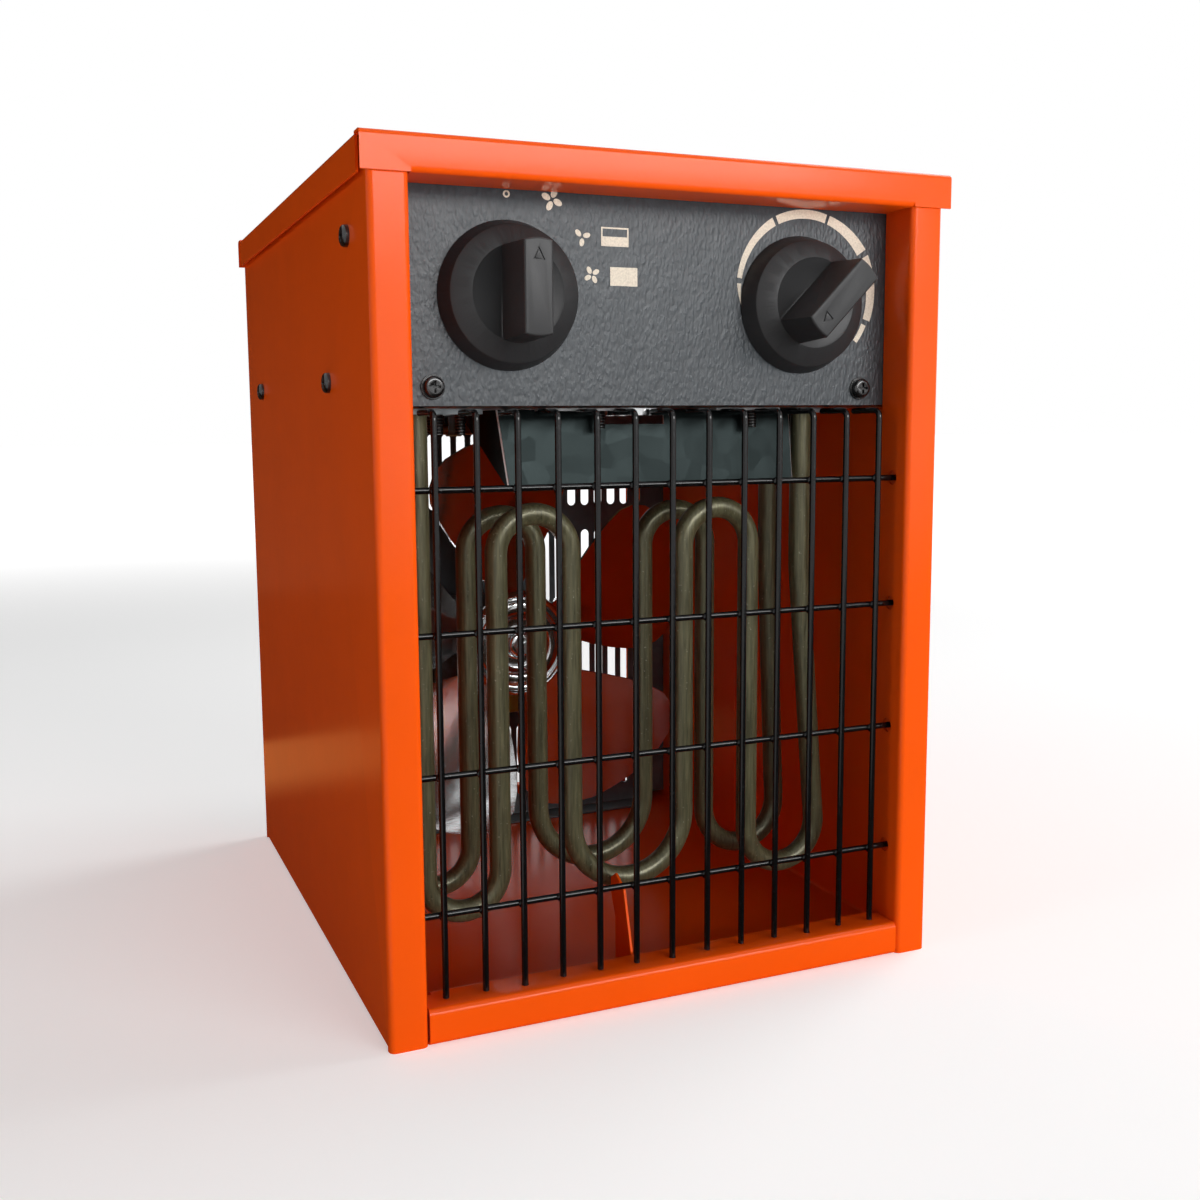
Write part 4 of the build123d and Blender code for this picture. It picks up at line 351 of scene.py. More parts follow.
class PanelSettings(bpy.types.PropertyGroup):
    coat: FloatVectorProperty(
        name="Coat colour", description="Wrinkle coat of the control panel", subtype="COLOR", size=4, min=0, max=1,
        default=linear("353A3E"),
    )
    ink: FloatVectorProperty(
        name="Ink colour", description="Printed marks on the panel", subtype="COLOR", size=4, min=0, max=1,
        default=linear("E6DAC6"),
    )
    scale_radius: FloatProperty(
        name="Scale radius", description="Inner radius of the arc scale", unit="LENGTH", default=0.030
    )


class KnobSettings(bpy.types.PropertyGroup):
    plastic: FloatVectorProperty(
        name="Plastic colour", description="Moulded plastic of both knobs", subtype="COLOR", size=4, min=0, max=1,
        default=linear("2B2B2C"),
    )


class GrilleSettings(bpy.types.PropertyGroup):
    wire: FloatProperty(name="Wire", description="Diameter of the grille wire", unit="LENGTH", default=0.0025)
    coat: FloatVectorProperty(
        name="Coat colour", description="Powder coat of the wires", subtype="COLOR", size=4, min=0, max=1,
        default=linear("09090A"),
    )


class ElementSettings(bpy.types.PropertyGroup):
    tube: FloatProperty(name="Tube", description="Diameter of the element's sheath", unit="LENGTH", default=0.009)
    steps: IntProperty(name="Bend steps", description="Steps in each half turn of the tube", default=40, min=8)
    sheath: FloatVectorProperty(
        name="Sheath colour", description="Oxide on the element's sheath", subtype="COLOR", size=4, min=0, max=1,
        default=linear("5A573F"),
    )


class StageSettings(bpy.types.PropertyGroup):
    floor: FloatVectorProperty(
        name="Floor colour", description="Plain floor", subtype="COLOR", size=4, min=0, max=1, default=linear("F4F4F4")
    )
    key: FloatProperty(name="Key light", description="Power of the large softbox", unit="POWER", default=42.0)
    gleam: FloatProperty(name="Gleam", description="Power of the lamp for the gloss", unit="POWER", default=31.0)
    fill: FloatProperty(name="Fill", description="Brightness of the room on the object", default=0.17)
    side: FloatProperty(name="Side light", description="Power of the small lamp on the left", unit="POWER", default=6.5)
    top: FloatProperty(name="Top light", description="Power of the lamp high on the right", unit="POWER", default=22.0)
    lens: FloatProperty(name="Lens", description="Focal length of the camera", unit="CAMERA", default=37.95)


# Making pieces -------------------------------------------------------------------------------------------------------


def finish_piece(name, bm, material, body, stands_for=(), bevel=0.0, sharp=40.0):
    """Moves a drawn mesh to the frame, rides it on its body and hides the CAD nodes that it stands for."""
    bmesh.ops.remove_doubles(bm, verts=bm.verts, dist=0.001)
    bmesh.ops.recalc_face_normals(bm, faces=bm.faces)
    bmesh.ops.transform(bm, matrix=TO_FRAME, verts=bm.verts)
    mesh = bpy.data.meshes.new(name)
    bm.to_mesh(mesh)
    bm.free()
    mesh.shade_smooth()
    mesh.set_sharp_from_angle(angle=math.radians(sharp))
    mesh.materials.append(material)
    piece = bpy.data.objects.new(name, mesh)
    bpy.context.scene.collection.objects.link(piece)
    if bevel:
        rounding = piece.modifiers.new("rounded edges", "BEVEL")
        rounding.width = bevel * MM
        rounding.segments = 2
        rounding.limit_method = "ANGLE"
        rounding.angle_limit = math.radians(sharp)
        rounding.harden_normals = True
    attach(piece, body)
    if stands_for:
        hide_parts(*stands_for)
    return piece


def ring(bm, centre, direction, radius, segments):
    """A circle of edges round a centre that faces along a direction."""
    turn = Vector((0, 0, 1)).rotation_difference(Vector(direction)).to_matrix().to_4x4()
    place = Matrix.Translation(centre) @ turn
    made = bmesh.ops.create_circle(bm, cap_ends=False, radius=radius, segments=segments, matrix=place)
    return list(dict.fromkeys(edge for vert in made["verts"] for edge in vert.link_edges))


def push(bm, edges, move):
    """Draws the ring out straight and gives its new edges."""
    made = bmesh.ops.extrude_edge_only(bm, edges=edges)["geom"]
    verts = [v for v in made if isinstance(v, bmesh.types.BMVert)]
    bmesh.ops.translate(bm, vec=move, verts=verts)
    return [e for e in made if isinstance(e, bmesh.types.BMEdge) and all(v in verts for v in e.verts)]


def bend(bm, edges, centre, axis, angle, steps):
    """Draws the ring round an arc and gives its new edges."""
    geom = list(dict.fromkeys(v for e in edges for v in e.verts)) + edges
    made = bmesh.ops.spin(
        bm, geom=geom, cent=centre, axis=axis, dvec=(0, 0, 0), angle=math.radians(angle), steps=steps, use_merge=False,
        use_normal_flip=False, use_duplicate=False,
    )
    return [e for e in made["geom_last"] if isinstance(e, bmesh.types.BMEdge)]


def close_ends(bm):
    """Caps every open ring."""
    bmesh.ops.holes_fill(bm, edges=bm.edges, sides=0)


def merged_copy(node_name):
    """A CAD node's mesh, drawn again in millimetres with its triangles joined into whole faces."""
    bm = bmesh.new()
    bm.from_mesh(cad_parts[node_name].data)
    bmesh.ops.transform(bm, matrix=TO_FRAME.inverted(), verts=bm.verts)
    bmesh.ops.remove_doubles(bm, verts=bm.verts, dist=0.002)
    bmesh.ops.dissolve_limit(bm, angle_limit=math.radians(0.5), verts=bm.verts, edges=bm.edges)
    return bm


def rounded(name, node_name, material, body, width):
    """A CAD part whose sharp edges are broken, so that they catch the light."""
    return finish_piece(name, merged_copy(node_name), material, body, [node_name], width)


def with_cut_edges(name, node_name, face_finish, edge_finish):
    """A sheet part whose narrow cut edges show bare metal."""
    bm = merged_copy(node_name)
    for face in bm.faces:
        longest = max(edge.calc_length() for edge in face.edges)
        if face.calc_area() / longest < CUT_EDGE:
            face.material_index = 1
    piece = finish_piece(name, bm, face_finish, "root", [node_name])
    piece.data.materials.append(edge_finish)


def paint(material, *names):
    """Gives CAD nodes a material."""
    for name in names:
        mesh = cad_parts[name].data
        mesh.materials.clear()
        mesh.materials.append(material)


# Operators -----------------------------------------------------------------------------------------------------------


class HEATER_OT_casing(bpy.types.Operator):
    """Coats the folded body, the cover and the element's rest"""

    bl_idname = "heater.casing"
    bl_label = "Casing"

    def execute(self, context):
        settings = context.scene.heater_casing
        coat = gloss_powder_coat(settings.coat, settings.peel)
        rounded("casing", "body_shell", coat, "root", COAT_EDGE)
        rounded("cover", "top_cover", coat, "root", COAT_EDGE)
        rounded("rest", "element_rest", coat, "root", COAT_EDGE)
        return {"FINISHED"}


class HEATER_OT_panel(bpy.types.Operator):
    """Coats the control panel and prints its signs"""

    bl_idname = "heater.panel"
    bl_label = "Control panel"
    ink_y = 18.01  # just under the panel's face
    ink_height = 0.08

    def execute(self, context):
        settings = context.scene.heater_panel
        rounded("panel", "control_panel", wrinkle_powder_coat(settings.coat), "root", PANEL_EDGE)
        self.print_marks(settings)
        return {"FINISHED"}

    def print_marks(self, settings):
        """The arc scale, and the signs for off, fan alone, half heat and full heat."""
        bm = bmesh.new()
        inner = settings.scale_radius / MM
        # Each strip's first and last angle, clockwise from the top, and its width at both
        for clock, width in (
            ((-102, -84), (0.05, 1.9)),
            ((-80, -28), (2.2, 3.5)),
            ((-25, 17.5), (3.5, 3.6)),
            ((20, 57), (3.7, 4.9)),
            ((61, 108), (4.9, 3.5)),
            ((112, 127), (2.4, 2.1)),
        ):
            self.arc(bm, (65.8, 281.6), inner, (inner + width[0], inner + width[1]), clock)
        self.arc(bm, (-63.3, 313.8), 0.7, (1.35, 1.35), (0, 360))
        # The fan signs, as centre, size and the angles of their blades
        for centre, size, angles in (
            ((-45.3, 312.8), 4.4, (10, 100, 190, 280)),
            ((-33.2, 299.8), 3.6, (-60, 170, 60)),
            ((-29.2, 285.9), 3.5, (45, 135, 225, 315)),
        ):
            for angle in angles:
                self.petal(bm, centre, size, angle)
        # The half-full box: top line, filled lower part and two sides, then the full box
        self.bar(bm, (-19.5, 303.6), (11.5, 0.6))
        self.bar(bm, (-19.5, 298.6), (11.5, 3.6))
        for side in (-1, 1):
            self.bar(bm, (-19.5 + side * 5.45, 301.85), (0.6, 2.9))
        self.bar(bm, (-15.8, 285.6), (11.5, 7.0))
        made = bmesh.ops.extrude_face_region(bm, geom=bm.faces[:])["geom"]
        raised = [v for v in made if isinstance(v, bmesh.types.BMVert)]
        bmesh.ops.translate(bm, vec=(0, -self.ink_height, 0), verts=raised)
        finish_piece("panel_print", bm, screen_ink(settings.ink), "root")

    def arc(self, bm, centre, inner, outer, clock):
        """A strip of the scale; outer and clock give both its ends."""
        strip = bmesh.ops.create_grid(bm, x_segments=24, y_segments=1, size=0.5)
        for vert in strip["verts"]:
            along, across = vert.co.x + 0.5, vert.co.y + 0.5
            angle = math.radians(clock[0] + along * (clock[1] - clock[0]))
            radius = inner + across * (outer[0] + along * (outer[1] - outer[0]) - inner)
            vert.co = (centre[0] + radius * math.sin(angle), self.ink_y, centre[1] + radius * math.cos(angle))

    def petal(self, bm, centre, size, angle):
        """One blade of a fan sign, fuller at one side."""
        turn = Matrix.Rotation(math.radians(angle), 4, "Y")
        off_centre = Matrix.Translation((0.12 * size, 0, 0.56 * size))
        shape = Matrix.Rotation(math.radians(18), 4, "Y") @ Matrix.Diagonal((0.27 * size, 1, 0.42 * size, 1))
        place = self.on_panel(centre) @ turn @ off_centre @ shape @ UPRIGHT
        bmesh.ops.create_circle(bm, cap_ends=True, radius=1, segments=14, matrix=place)

    def bar(self, bm, centre, size):
        """An upright rectangle of ink."""
        place = self.on_panel(centre) @ Matrix.Diagonal((size[0] / 2, 1, size[1] / 2, 1)) @ UPRIGHT
        bmesh.ops.create_grid(bm, x_segments=1, y_segments=1, size=1, matrix=place)

    def on_panel(self, centre):
        """The matrix that moves a mark there on the panel's face."""
        return Matrix.Translation((centre[0], self.ink_y, centre[1]))


class HEATER_OT_knobs(bpy.types.Operator):
    """Finishes both knobs in moulded plastic"""

    bl_idname = "heater.knobs"
    bl_label = "Knobs"

    def execute(self, context):
        colour = context.scene.heater_knobs.plastic
        plastic = moulded_plastic("moulded black ABS", colour, 0.42, 0.45)
        rounded("knob_switch", "switch_knob", plastic, "switch", KNOB_EDGE)
        rounded("knob_thermostat", "thermostat_knob", plastic, "thermostat", KNOB_EDGE)
        return {"FINISHED"}


class HEATER_OT_grille(bpy.types.Operator):
    """Bends the upright wires, lays the cross wires behind them and welds each crossing"""

    bl_idname = "heater.grille"
    bl_label = "Grille"

    def execute(self, context):
        settings = context.scene.heater_grille
        coat = dipped_wire_coat(settings.coat)
        radius, sides = settings.wire / MM / 2, 16
        xs = [-96 + 16 * i for i in range(13)]
        zs = [46.2 + 53.3 * i for i in range(4)]
        long_wires = (-64, 0, 64)  # these reach down into the rail
        upright_y, weld_y, cross_y = 7.5, 8.8, 10.05
        shoulder, bend_radius, cross_length = 231.2, 3.0, 215
        bm = bmesh.new()
        for x in xs:
            foot = 7.5 if x in long_wires else 14.6
            edges = ring(bm, (x, upright_y, foot), (0, 0, 1), radius, sides)
            edges = push(bm, edges, (0, 0, shoulder - foot))
            edges = bend(bm, edges, (x, upright_y + bend_radius, shoulder), (-1, 0, 0), 90, 6)
            push(bm, edges, (0, 15, 0))
            for z in zs:
                place = Matrix.Translation((x, weld_y, z)) @ Matrix.Diagonal((1.9, 1.2, 1.9, 1))
                bmesh.ops.create_uvsphere(bm, u_segments=10, v_segments=6, radius=1, matrix=place)
        close_ends(bm)
        finish_piece("grille_uprights", bm, coat, "root", ["grille_upright_wires"])
        bm = bmesh.new()
        for z in zs:
            edges = ring(bm, (-cross_length / 2, cross_y, z), (1, 0, 0), radius, sides)
            push(bm, edges, (cross_length, 0, 0))
        close_ends(bm)
        finish_piece("grille_crossbars", bm, coat, "root", ["grille_cross_wires"])
        return {"FINISHED"}


class HEATER_OT_elements(bpy.types.Operator):
    """Bends both sheathed heating elements"""

    bl_idname = "heater.elements"
    bl_label = "Heating elements"

    def execute(self, context):
        settings = context.scene.heater_elements
        sheath = oxidised_sheath(settings.sheath)
        self.bend_tube(settings, sheath, "heating_element_front", depth=43.0, drop=0.0, last_x=90.0, lean=4.6)
        self.bend_tube(settings, sheath, "heating_element_rear", depth=82.0, drop=3.0, last_x=93.2, lean=2.3)
        return {"FINISHED"}

    def bend_tube(self, settings, sheath, name, depth, drop, last_x, lean):
        """Down the left side, over four narrow and wide bends, and up a leg that leans in and then turns upright."""
        xs = [-92.8, -60.9, -29.0, 23.0, 54.9, last_x]
        top, bottom, end, shoulder = 194 - drop, 33 - drop, 242.8, 167.0
        middle_lift, knee_radius = 3.8, 40  # the middle loop hangs less low
        bm = bmesh.new()
        edges = ring(bm, (xs[0], depth, end), (0, 0, -1), settings.tube / MM / 2, 20)
        height = end
        for i in range(5):
            radius = (xs[i + 1] - xs[i]) / 2
            down = i % 2 == 0
            middle = bottom + (middle_lift if i == 2 else 0) + radius if down else top - radius
            edges = push(bm, edges, (0, 0, middle - height))
            centre = ((xs[i] + xs[i + 1]) / 2, depth, middle)
            turn = 180 + lean if i == 4 else 180
            edges = bend(bm, edges, centre, (0, -1 if down else 1, 0), turn, settings.steps)
            height = middle
        slope = math.radians(lean)
        start = Vector((centre[0] + radius * math.cos(slope), depth, middle + radius * math.sin(slope)))
        upright_x = start.x - (shoulder - start.z) * math.tan(slope)
        back_off = knee_radius * math.tan(slope / 2)
        knee = Vector((upright_x + back_off * math.sin(slope), depth, shoulder - back_off * math.cos(slope)))
        edges = push(bm, edges, knee - start)
        edges = bend(bm, edges, (upright_x + knee_radius, depth, shoulder + back_off), (0, 1, 0), lean, 6)
        push(bm, edges, (0, 0, end - shoulder - back_off))
        close_ends(bm)
        finish_piece(name.replace("heating_element", "element_tube"), bm, sheath, "root", [name])


class HEATER_OT_sheet_parts(bpy.types.Operator):
    """Finishes the galvanised shelf, baffle, rear panel, flanges and clips"""

    bl_idname = "heater.sheet_parts"
    bl_label = "Galvanised sheet parts"

    def execute(self, context):
        zinc = galvanised_sheet("hot-dip galvanised steel", linear("AEB5B8"), 0.28)
        paint(zinc, "divider_shelf", "bulb_clips")
        paint(galvanised_sheet("weathered galvanised steel", linear("6F7375"), 0.34), "rear_panel")
        # The baffle gets a much darker copy of the galvanised sheet: painted shade
        dull = galvanised_sheet("galvanised steel darkened as painted shade", linear("242A2A"), 0.36)
        cut = turned_metal("sheared steel edge", linear("F4F5F5"), 0.5, 0.8)
        with_cut_edges("baffle", "air_baffle", dull, cut)
        with_cut_edges("flanges", "element_flanges", zinc, cut)
        return {"FINISHED"}


class HEATER_OT_fan(bpy.types.Operator):
    """Finishes the impeller and the motor that turns it"""

    bl_idname = "heater.fan"
    bl_label = "Fan and motor"

    def execute(self, context):
        bright = polished_aluminium(linear("DADBDC"))
        self.press_wheel(bright)
        paint(bright, "motor_rotor", "cutout_cap")
        paint(laminated_steel(linear("6A6B6C")), "motor_stator")
        paint(turned_metal("stamped steel", linear("7C7D7E"), 0.42, 1.5), "motor_front_bracket", "motor_rear_bracket")
        paint(turned_metal("sintered bronze", linear("A8763E"), 0.4, 0.4), "motor_bearings")
        paint(wound_tape(linear("C99A2E")), "motor_coil")
        paint(moulded_plastic("moulded glass-filled nylon", linear("DDD5C0"), 0.5, 0.5), "motor_bobbin")
        return {"FINISHED"}

    def press_wheel(self, bright):
        """A spun hub with rolled rings, and five broad twisted blades."""
        bm = bmesh.new()
        front, middle = 178.5, Vector((0, 0, 116))
        # The hub's section, as radius and depth behind its front
        profile = [
            (2.6, 0), (5.2, 0), (6.2, 0.5), (6.5, 1.4), (6.7, 5.6), (7.4, 6.7), (8.6, 7.0), (12.6, 7.0), (14.0, 6.5),
            (14.8, 5.2), (15.4, 3.4), (16.4, 2.3), (17.8, 2.0), (21.4, 2.0), (22.4, 2.5), (22.9, 3.6), (23.5, 4.2),
            (24.2, 3.6), (24.8, 2.4), (25.8, 2.0), (26.8, 2.6), (27.6, 4.2), (28.0, 6.4), (28.0, 22), (26.8, 22),
            (26.8, 8.4), (15.0, 8.4), (6.5, 8.6), (6.5, 22), (2.6, 22),
        ]
        verts = [bm.verts.new(middle + Vector((radius, front + depth, 0))) for radius, depth in profile]
        edges = [bm.edges.new(pair) for pair in zip(verts, verts[1:] + verts[:1])]
        bmesh.ops.spin(
            bm, geom=verts + edges, cent=middle, axis=(0, 1, 0), dvec=(0, 0, 0), angle=math.tau, steps=64,
            use_merge=True, use_normal_flip=False, use_duplicate=False,
        )
        for i in range(5):
            self.blade(bm, middle, 21 + 360 / 5 * i)
        finish_piece("fan_wheel", bm, bright, "fan", ["impeller"], sharp=50)

    def blade(self, bm, middle, direction):
        """A sheet with a round tip that widens from the hub; its trailing side is further back."""
        # Radius, and half the blade's spread there in degrees
        stations = [
            (25.5, 17), (33, 22), (42, 26), (54, 29), (67, 30.5), (79, 30.5), (89, 29.5), (96, 27), (101, 23.5),
            (104.4, 18.5), (106.5, 11),
        ]
        blade_depth, sheet_thickness = 198.0, 1.2
        sheet = bmesh.ops.create_grid(bm, x_segments=len(stations) - 1, y_segments=12, size=0.5)
        for vert in sheet["verts"]:
            radius, spread = stations[round((vert.co.x + 0.5) * (len(stations) - 1))]
            aside = math.radians(2 * vert.co.y * spread)
            pitch = math.radians(32 - 12 * (radius - 25.5) / 86.5)
            across = radius * math.sin(aside)
            camber = 3.0 * math.cos(3 * aside) * radius / 107
            depth = blade_depth + across * math.tan(pitch) - camber
            angle = math.radians(direction) - aside
            vert.co = middle + Vector((radius * math.cos(angle), depth, radius * math.sin(angle)))
        faces = list(dict.fromkeys(face for vert in sheet["verts"] for face in vert.link_faces))
        bmesh.ops.recalc_face_normals(bm, faces=faces)
        bmesh.ops.solidify(bm, geom=faces, thickness=sheet_thickness)


class HEATER_OT_fasteners(bpy.types.Operator):
    """Finishes the blacked screws outside and the plated ones inside"""

    bl_idname = "heater.fasteners"
    bl_label = "Screws and nuts"

    def execute(self, context):
        black = black_oxide(linear("121213"))
        for name in ("side_screws", "panel_screws", "panel_washers", "cover_screws"):
            rounded("blacked_" + name, name, black, "root", SCREW_EDGE)
        paint(threaded_steel(linear("6E7070")), "element_flange_screws", "baffle_screws")
        plated = turned_metal("zinc-plated steel", linear("C6C9C9"), 0.26, 0.5)
        paint(plated, "element_terminals", "shelf_rear_screws", "control_screws", "earth_screw", "block_screws")
        paint(plated, "motor_screws", "motor_spacers", "motor_nuts", "hub_nut", "fan_shaft")
        paint(plated, "switch_shaft", "thermostat_shaft", "thermostat_bellows")
        return {"FINISHED"}


class HEATER_OT_controls(bpy.types.Operator):
    """Finishes the switch, the thermostat, the cut-out and the wiring behind the panel"""

    bl_idname = "heater.controls"
    bl_label = "Switch, thermostat and wiring"

    def execute(self, context):
        cream = moulded_plastic("moulded cream nylon", linear("DDD4BC"), 0.48, 0.5)
        paint(cream, "switch_housing", "switch_cam", "thermostat_back", "terminal_block")
        black = moulded_plastic("moulded phenolic", linear("1C1B1B"), 0.36, 0.5)
        paint(black, "switch_back", "cable_gland", "gland_locknut", "cutout_body")
        brass = turned_metal("stamped brass", linear("C9A45A"), 0.28, 0.6)
        paint(brass, "switch_terminals", "thermostat_terminals", "cutout_terminals")
        paint(turned_metal("drawn copper", linear("C07A50"), 0.28, 0.8), "capillary_tube", "sensor_bulb")
        paint(turned_metal("pressed steel", linear("8A8C8D"), 0.38, 1.2), "thermostat_housing")
        paint(moulded_plastic("moulded EPDM rubber", linear("1A1A1B"), 0.62, 0.6), "shelf_grommets")
        paint(moulded_plastic("extruded silicone cover", linear("C4BFB4"), 0.45, 0.7), "internal_wires")
        paint(fired_ceramic(linear("E4DECF")), "element_insulators")
        return {"FINISHED"}


class HEATER_OT_stage(bpy.types.Operator):
    """Lays the floor and sets the light and the camera"""

    bl_idname = "heater.stage"
    bl_label = "Stage"
    lamp_distance = 2.2

    def execute(self, context):
        settings = context.scene.heater_stage
        self.lay_floor(settings)
        self.hang_lights(settings)
        self.set_camera(settings)
        context.scene.view_settings.view_transform = "Standard"
        return {"FINISHED"}

    def lay_floor(self, settings):
        """A plain floor that grows white away from the heater and keeps its shadow."""
        made, tree, place = start_material("matt paper floor")
        matt = node(tree, "ShaderNodeBsdfDiffuse", {"Color": settings.floor})
        reach = node(tree, "ShaderNodeVectorMath", {0: place}, operation="LENGTH")
        rise = node(
            tree,
            "ShaderNodeMapRange",
            {"Value": reach.outputs["Value"], "From Min": 0.9, "From Max": 2.6, "To Min": 0.36, "To Max": 1.0},
            interpolation_type="SMOOTHSTEP",
        )
        glow = node(tree, "ShaderNodeEmission", {"Color": (1, 1, 1, 1), "Strength": rise.outputs["Result"]})
        clear = self.in_view(tree)
        both = node(tree, "ShaderNodeAddShader", {0: matt.outputs[0], 1: glow.outputs[0]})
        shown = node(tree, "ShaderNodeMixShader", {0: clear.outputs[0], 1: matt.outputs[0], 2: both.outputs[0]})
        node(tree, "ShaderNodeOutputMaterial", {"Surface": shown.outputs[0]})
        bm = bmesh.new()
        bmesh.ops.create_grid(bm, x_segments=1, y_segments=1, size=20)
        mesh = bpy.data.meshes.new("floor")
        bm.to_mesh(mesh)
        bm.free()
        mesh.materials.append(made)
        floor = bpy.data.objects.new("floor", mesh)
        bpy.context.scene.collection.objects.link(floor)

    def in_view(self, tree):
        """1 for what the camera, a reflection or glass shows, and 0 for light on its way to a surface."""
        path = node(tree, "ShaderNodeLightPath").outputs
        seen = node(tree, "ShaderNodeMath", {0: path["Is Camera Ray"], 1: path["Is Glossy Ray"]}, operation="MAXIMUM")
        through = {0: seen.outputs[0], 1: path["Is Transmission Ray"]}
        return node(tree, "ShaderNodeMath", through, operation="MAXIMUM")

    def hang_lights(self, settings):
        """A large softbox to the right of the camera, a lamp for the gloss, and a plain room that fills the shadows."""
        self.hang_lamp("softbox", settings.key, (1.7, 0.9), 23, 4).visible_glossy = False
        self.hang_lamp("strip box", settings.gleam, (1.5, 0.55), 15, 20).visible_diffuse = False
        self.hang_lamp("side lamp", settings.side, (0.9, 0.9), -85, 25).visible_glossy = False
        self.hang_lamp("top lamp", settings.top, (1.2, 1.2), 97, 45)
        self.hang_cards()
        world = bpy.data.worlds.new("room")
        world.use_nodes = True
        tree = world.node_tree
        tree.nodes.clear()
        clear = self.in_view(tree)
        strength = node(tree, "ShaderNodeMapRange", {"Value": clear.outputs[0], "To Min": settings.fill, "To Max": 1.0})
        white = node(tree, "ShaderNodeBackground", {"Color": (1, 1, 1, 1), "Strength": strength.outputs["Result"]})
        node(tree, "ShaderNodeOutputWorld", {"Surface": white.outputs[0]})
        bpy.context.scene.world = world

    def hang_lamp(self, name, energy, size, turn, height):
        """An area lamp that faces the heater, turned to the right of its front and raised by these angles."""
        lamp = bpy.data.lights.new(name, "AREA")
        lamp.shape = "RECTANGLE"
        lamp.size, lamp.size_y = size
        lamp.energy = energy
        made = bpy.data.objects.new(name, lamp)
        aim = Vector((0, 0, 0.16))
        turn, height = math.radians(turn), math.radians(height)
        away = Vector((math.sin(turn) * math.cos(height), -math.cos(turn) * math.cos(height), math.sin(height)))
        made.location = aim + self.lamp_distance * away
        made.rotation_euler = away.to_track_quat("Z", "Y").to_euler()
        bpy.context.scene.collection.objects.link(made)
        return made

    def hang_cards(self):
        """Glowing cards that only reflections see, painted reflections of a dim room and of the floor round the heater,
        so that the gloss keeps its colour at a flat angle.
        """
        made, tree, place = start_material("painted reflection card")
        height = node(tree, "ShaderNodeSeparateXYZ", {0: place})
        # Painted reflection: the card glows a dim warm colour that fades upwards
        rise = node(
            tree, "ShaderNodeMapRange", {"Value": height.outputs["Z"], "From Max": 0.5, "To Min": 0.3, "To Max": 0.05}
        )
        painted_reflection = node(tree, "ShaderNodeEmission", {"Color": linear("A87458"), "Strength": rise.outputs["Result"]})
        node(tree, "ShaderNodeOutputMaterial", {"Surface": painted_reflection.outputs[0]})
        self.add_card("card_behind", made, (-0.9, 1.2, 0.6), (1.05, 0.65), UPRIGHT)
        made, tree, place = start_material("painted floor reflection runner")
        # Painted reflection of the floor: a dark glow, with an orange band where the floor behind the left side is lit
        depth = node(tree, "ShaderNodeSeparateXYZ", {0: place})
        near = node(
            tree, "ShaderNodeMapRange", {"Value": depth.outputs["Y"], "From Min": 0.197, "From Max": 0.27},
            interpolation_type="SMOOTHSTEP",
        )
        far = node(
            tree, "ShaderNodeMapRange", {"Value": depth.outputs["Y"], "From Min": 0.365, "From Max": 0.345},
            interpolation_type="SMOOTHSTEP",
        )
        band = node(tree, "ShaderNodeMath", {0: near.outputs["Result"], 1: far.outputs["Result"]}, operation="MULTIPLY")
        glow = mixed_colour(tree, band.outputs[0], (0.03, 0.018, 0.012, 1), (0.5, 0.2, 0.06, 1))
        painted_reflection = node(tree, "ShaderNodeEmission", {"Color": glow})
        node(tree, "ShaderNodeOutputMaterial", {"Surface": painted_reflection.outputs[0]})
        # They lie just above the floor and leave it bare at the front left, where the wires and tubes mirror it
        self.add_card("card_below", made, (1.425, -0.9, 0.0004), (1.575, 2.1))
        self.add_card("card_left", made, (-1.575, 0.525, 0.0004), (1.425, 0.675))

    def add_card(self, name, material, centre, half_size, turn=Matrix()):
        """A flat card that neither the camera nor the light on a surface meets."""
        place = Matrix.Translation(centre) @ turn @ Matrix.Diagonal((*half_size, 1, 1))
        bm = bmesh.new()
        bmesh.ops.create_grid(bm, x_segments=1, y_segments=1, size=1, matrix=place)
        mesh = bpy.data.meshes.new(name)
        bm.to_mesh(mesh)
        bm.free()
        mesh.materials.append(material)
        card = bpy.data.objects.new(name, mesh)
        bpy.context.scene.collection.objects.link(card)
        card.visible_camera = False
        card.visible_diffuse = False
        card.visible_shadow = False
        card.visible_transmission = False

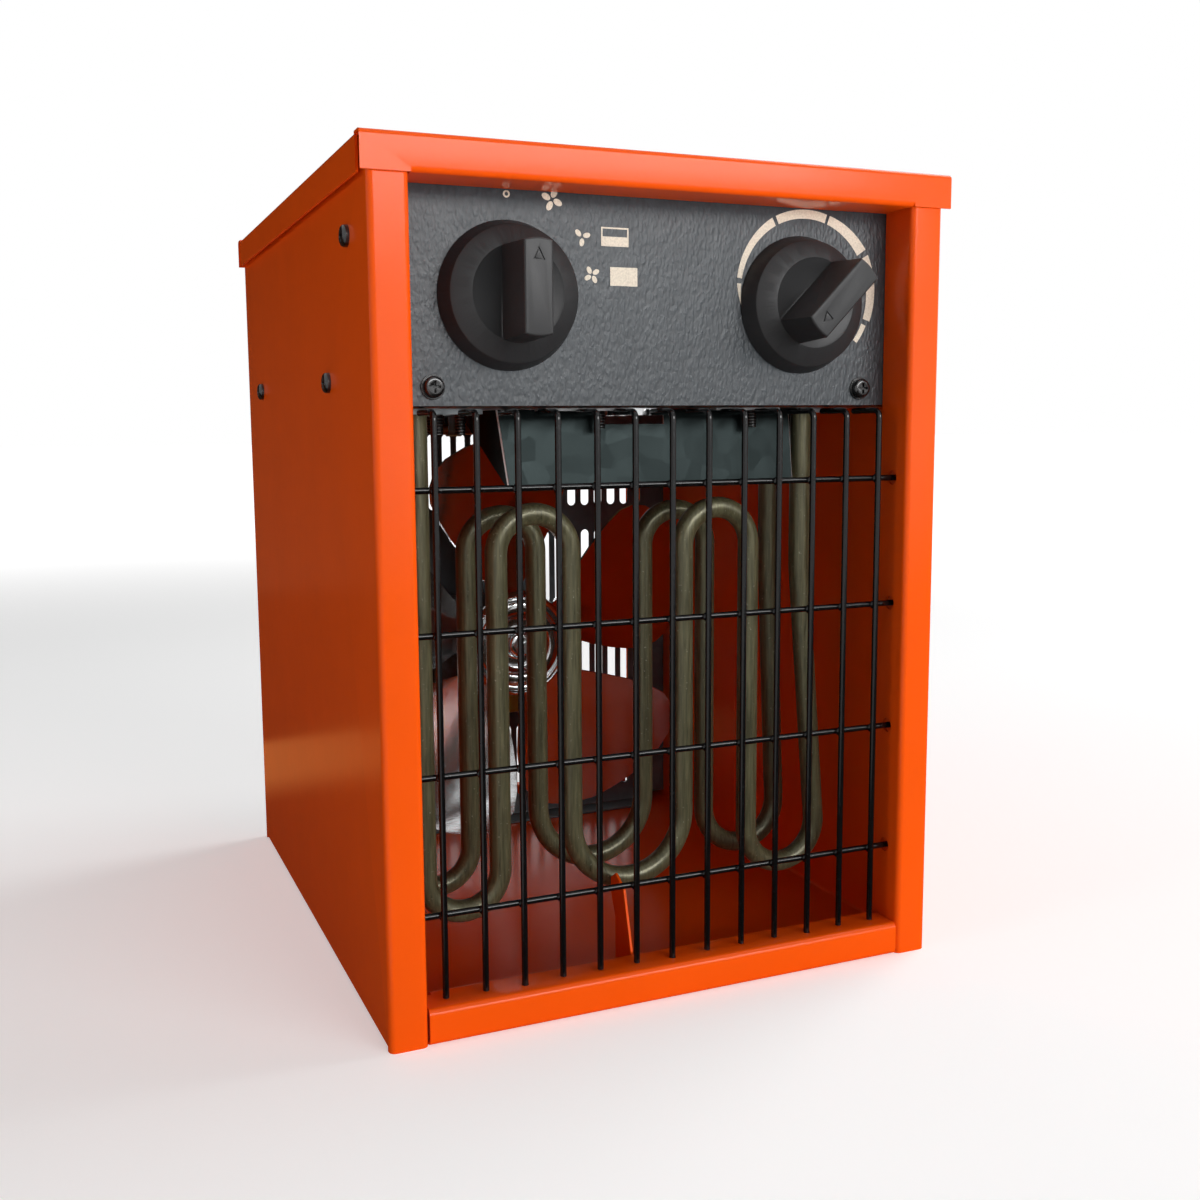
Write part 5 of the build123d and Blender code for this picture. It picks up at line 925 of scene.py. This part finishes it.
    def set_camera(self, settings):
        """The camera stands to the left of the front, low, and looks slightly down."""
        data = bpy.data.cameras.new("camera")
        data.lens = settings.lens
        data.shift_x = 0.03097
        data.shift_y = -0.01574
        camera = bpy.data.objects.new("camera", data)
        camera.location = (-0.2269, -0.5652, 0.2283)
        yaw, pitch, roll = math.radians(-22.2948), math.radians(90 - 6.9146), math.radians(-0.5506)
        turn = Matrix.Rotation(yaw, 4, "Z") @ Matrix.Rotation(pitch, 4, "X") @ Matrix.Rotation(roll, 4, "Z")
        camera.rotation_euler = turn.to_euler()
        bpy.context.scene.collection.objects.link(camera)
        bpy.context.scene.camera = camera


OPERATORS = [
    HEATER_OT_stage,
    HEATER_OT_casing,
    HEATER_OT_panel,
    HEATER_OT_knobs,
    HEATER_OT_grille,
    HEATER_OT_elements,
    HEATER_OT_sheet_parts,
    HEATER_OT_fan,
    HEATER_OT_fasteners,
    HEATER_OT_controls,
]
SETTINGS = {
    "heater_casing": CasingSettings,
    "heater_panel": PanelSettings,
    "heater_knobs": KnobSettings,
    "heater_grille": GrilleSettings,
    "heater_elements": ElementSettings,
    "heater_stage": StageSettings,
}


class HEATER_PT_panel(bpy.types.Panel):
    """Lists the heater's pieces and their settings"""

    bl_idname = "HEATER_PT_panel"
    bl_label = "Fan heater"
    bl_space_type = "VIEW_3D"
    bl_region_type = "UI"
    bl_category = "Heater"

    def draw(self, context):
        for name, group in SETTINGS.items():
            box = self.layout.box()
            for field in group.__annotations__:
                box.prop(getattr(context.scene, name), field)
        for operator in OPERATORS:
            self.layout.operator(operator.bl_idname)


def register():
    for made in [*SETTINGS.values(), *OPERATORS, HEATER_PT_panel]:
        bpy.utils.register_class(made)
    for name, group in SETTINGS.items():
        setattr(bpy.types.Scene, name, PointerProperty(type=group))


def unregister():
    for name in SETTINGS:
        delattr(bpy.types.Scene, name)
    for made in reversed([*SETTINGS.values(), *OPERATORS, HEATER_PT_panel]):
        bpy.utils.unregister_class(made)


def main():
    register()
    for operator in OPERATORS:
        getattr(bpy.ops.heater, operator.bl_idname.split(".")[1])()


if __name__ == "__main__":
    main()
